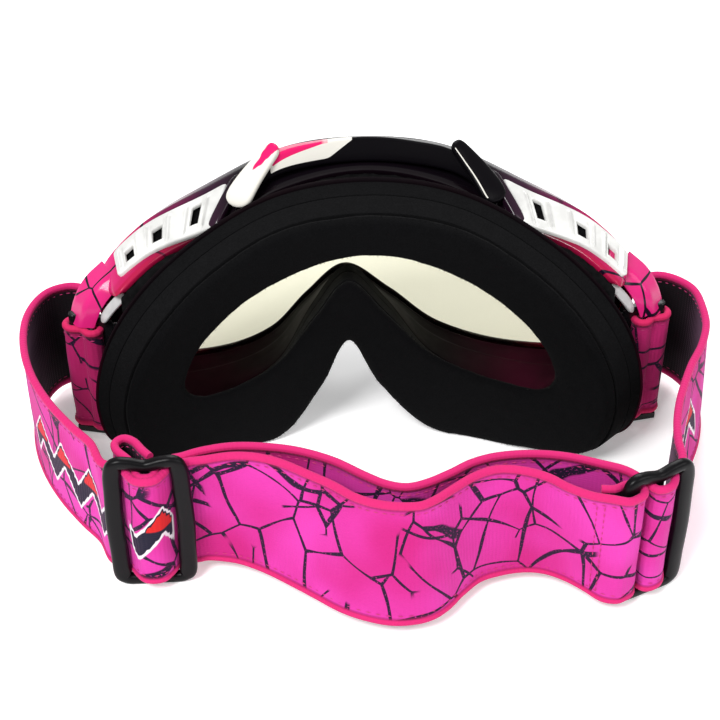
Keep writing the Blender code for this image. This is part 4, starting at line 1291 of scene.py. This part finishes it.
throughRight = [(12.2, -5.9), (9.4, -3.1), (7.4, -2.7), (5.9, -0.9), (4.4, 1.2), (2.4, 2.8), (0, 3.2),
                (-1.9, 2.5), (-2.7, 0.6), (-3.1, -2.4)]
innerRear = [(66, -61.3), (60, -58.5), (51, -56, 2), (42, -55, 3), (33, -55.6, 3), (26, -58, 3), (20, -62, 3),
             (13, -66, 3), (7, -67.6, 3), (1, -66, 3), (-5, -62, 3), (-13, -55.8, 3), (-22, -51, 2),
             (-31, -48.5, 1), (-40, -47.6), (-48, -49.3)]
sewnLeft = [(9.5, -5.7), (5.5, -4.6), (3.0, -2.2), (2.55, 0.3), (2.2, 1.75), (1.1, 2.6), (-1.1, 2.6),
            (-2.2, 1.75), (-2.55, 0.3), (-3.0, -2.4), (-5.2, -5.8), (-8.2, -9.6), (-8.8, -12.6),
            (-6.6, -14.6), (-3.7, -13.0), (-1.4, -9.4), (1.0, -6.2)]


def makeStraps():
    at = sliderPoint
    makeStrap("left", "right", [onSide(planOf(fromPost + leftSide), -1), planOf(throughLeft, "left"),
                                planOf(outerRear), planOf(sewnRight, "right")], 1, "outer",
              cuts=[(-104.5, 9), at("left", 0, 4.4), (4, -77)],
              spans=[((-87.5, 20), (-103.8, 20)), ((-103, -4), at("left", -12.5, -5)),
                     (at("left", 12.5, -4), (-36, -54)), ((44, -62), at("right", -14.6, 0.4))],
              marks=[(-62, -14), (-6, 8)], sewn=[-26.0, -28.0], offset=0.0)
    makeStrap("right", "left", [planOf(fromPost + rightSide), planOf(throughRight, "right"),
                                planOf(innerRear), planOf(sewnLeft, "left")], -1, "inner",
              cuts=[(104.3, 9), at("right", 0, 3.2), (7, -67.6)],
              spans=[((87.5, 20), (103.8, 20)), ((103, -4), at("right", 12.2, -5.9)),
                     (at("right", -6.0, -6.0), (50, -56)), ((-38, -48), at("left", 11.0, -5.7))],
              marks=[(-62, -14)], sewn=[-3.0], offset=400.0)


def makeStrapEnd(word, side):
    # a closed loop of cloth round the arm's post and a thin rod beside it
    s = strapShape
    (px, py), (qx, qy) = armShape["post"], s["rod"]
    away = math.atan2(py - qy, px - qx)

    def arc(x, y, radius, angles):
        turns = away + np.radians(angles)
        return [(x + radius * math.cos(t), y + radius * math.sin(t)) for t in turns]

    loop = arc(px, py, s["postRound"], (125, 85, 40, 0, -40, -85, -125)) + [s["waist"]]
    loop += arc(qx, qy, s["rodRound"], (-55, -95, -140, 180, 140, 95, 60))
    path = strapPath(onSide(planOf(loop), side), -side)
    chunks = strapChunks(path, 0, len(path["run"]) - 1, offset=900.0 - 60 * side)
    # the loop takes the darker copy of the elastic, which is painted shade
    made = piece("strap_end_cloth_" + word, chunks, ["strapEndPaintedShade", "thread"], "arm_" + word,
                 ["strap_end_" + word], sharp=60)


makeStraps()
for word, side in sides.items():
    makeStrapEnd(word, side)
print("straps made")
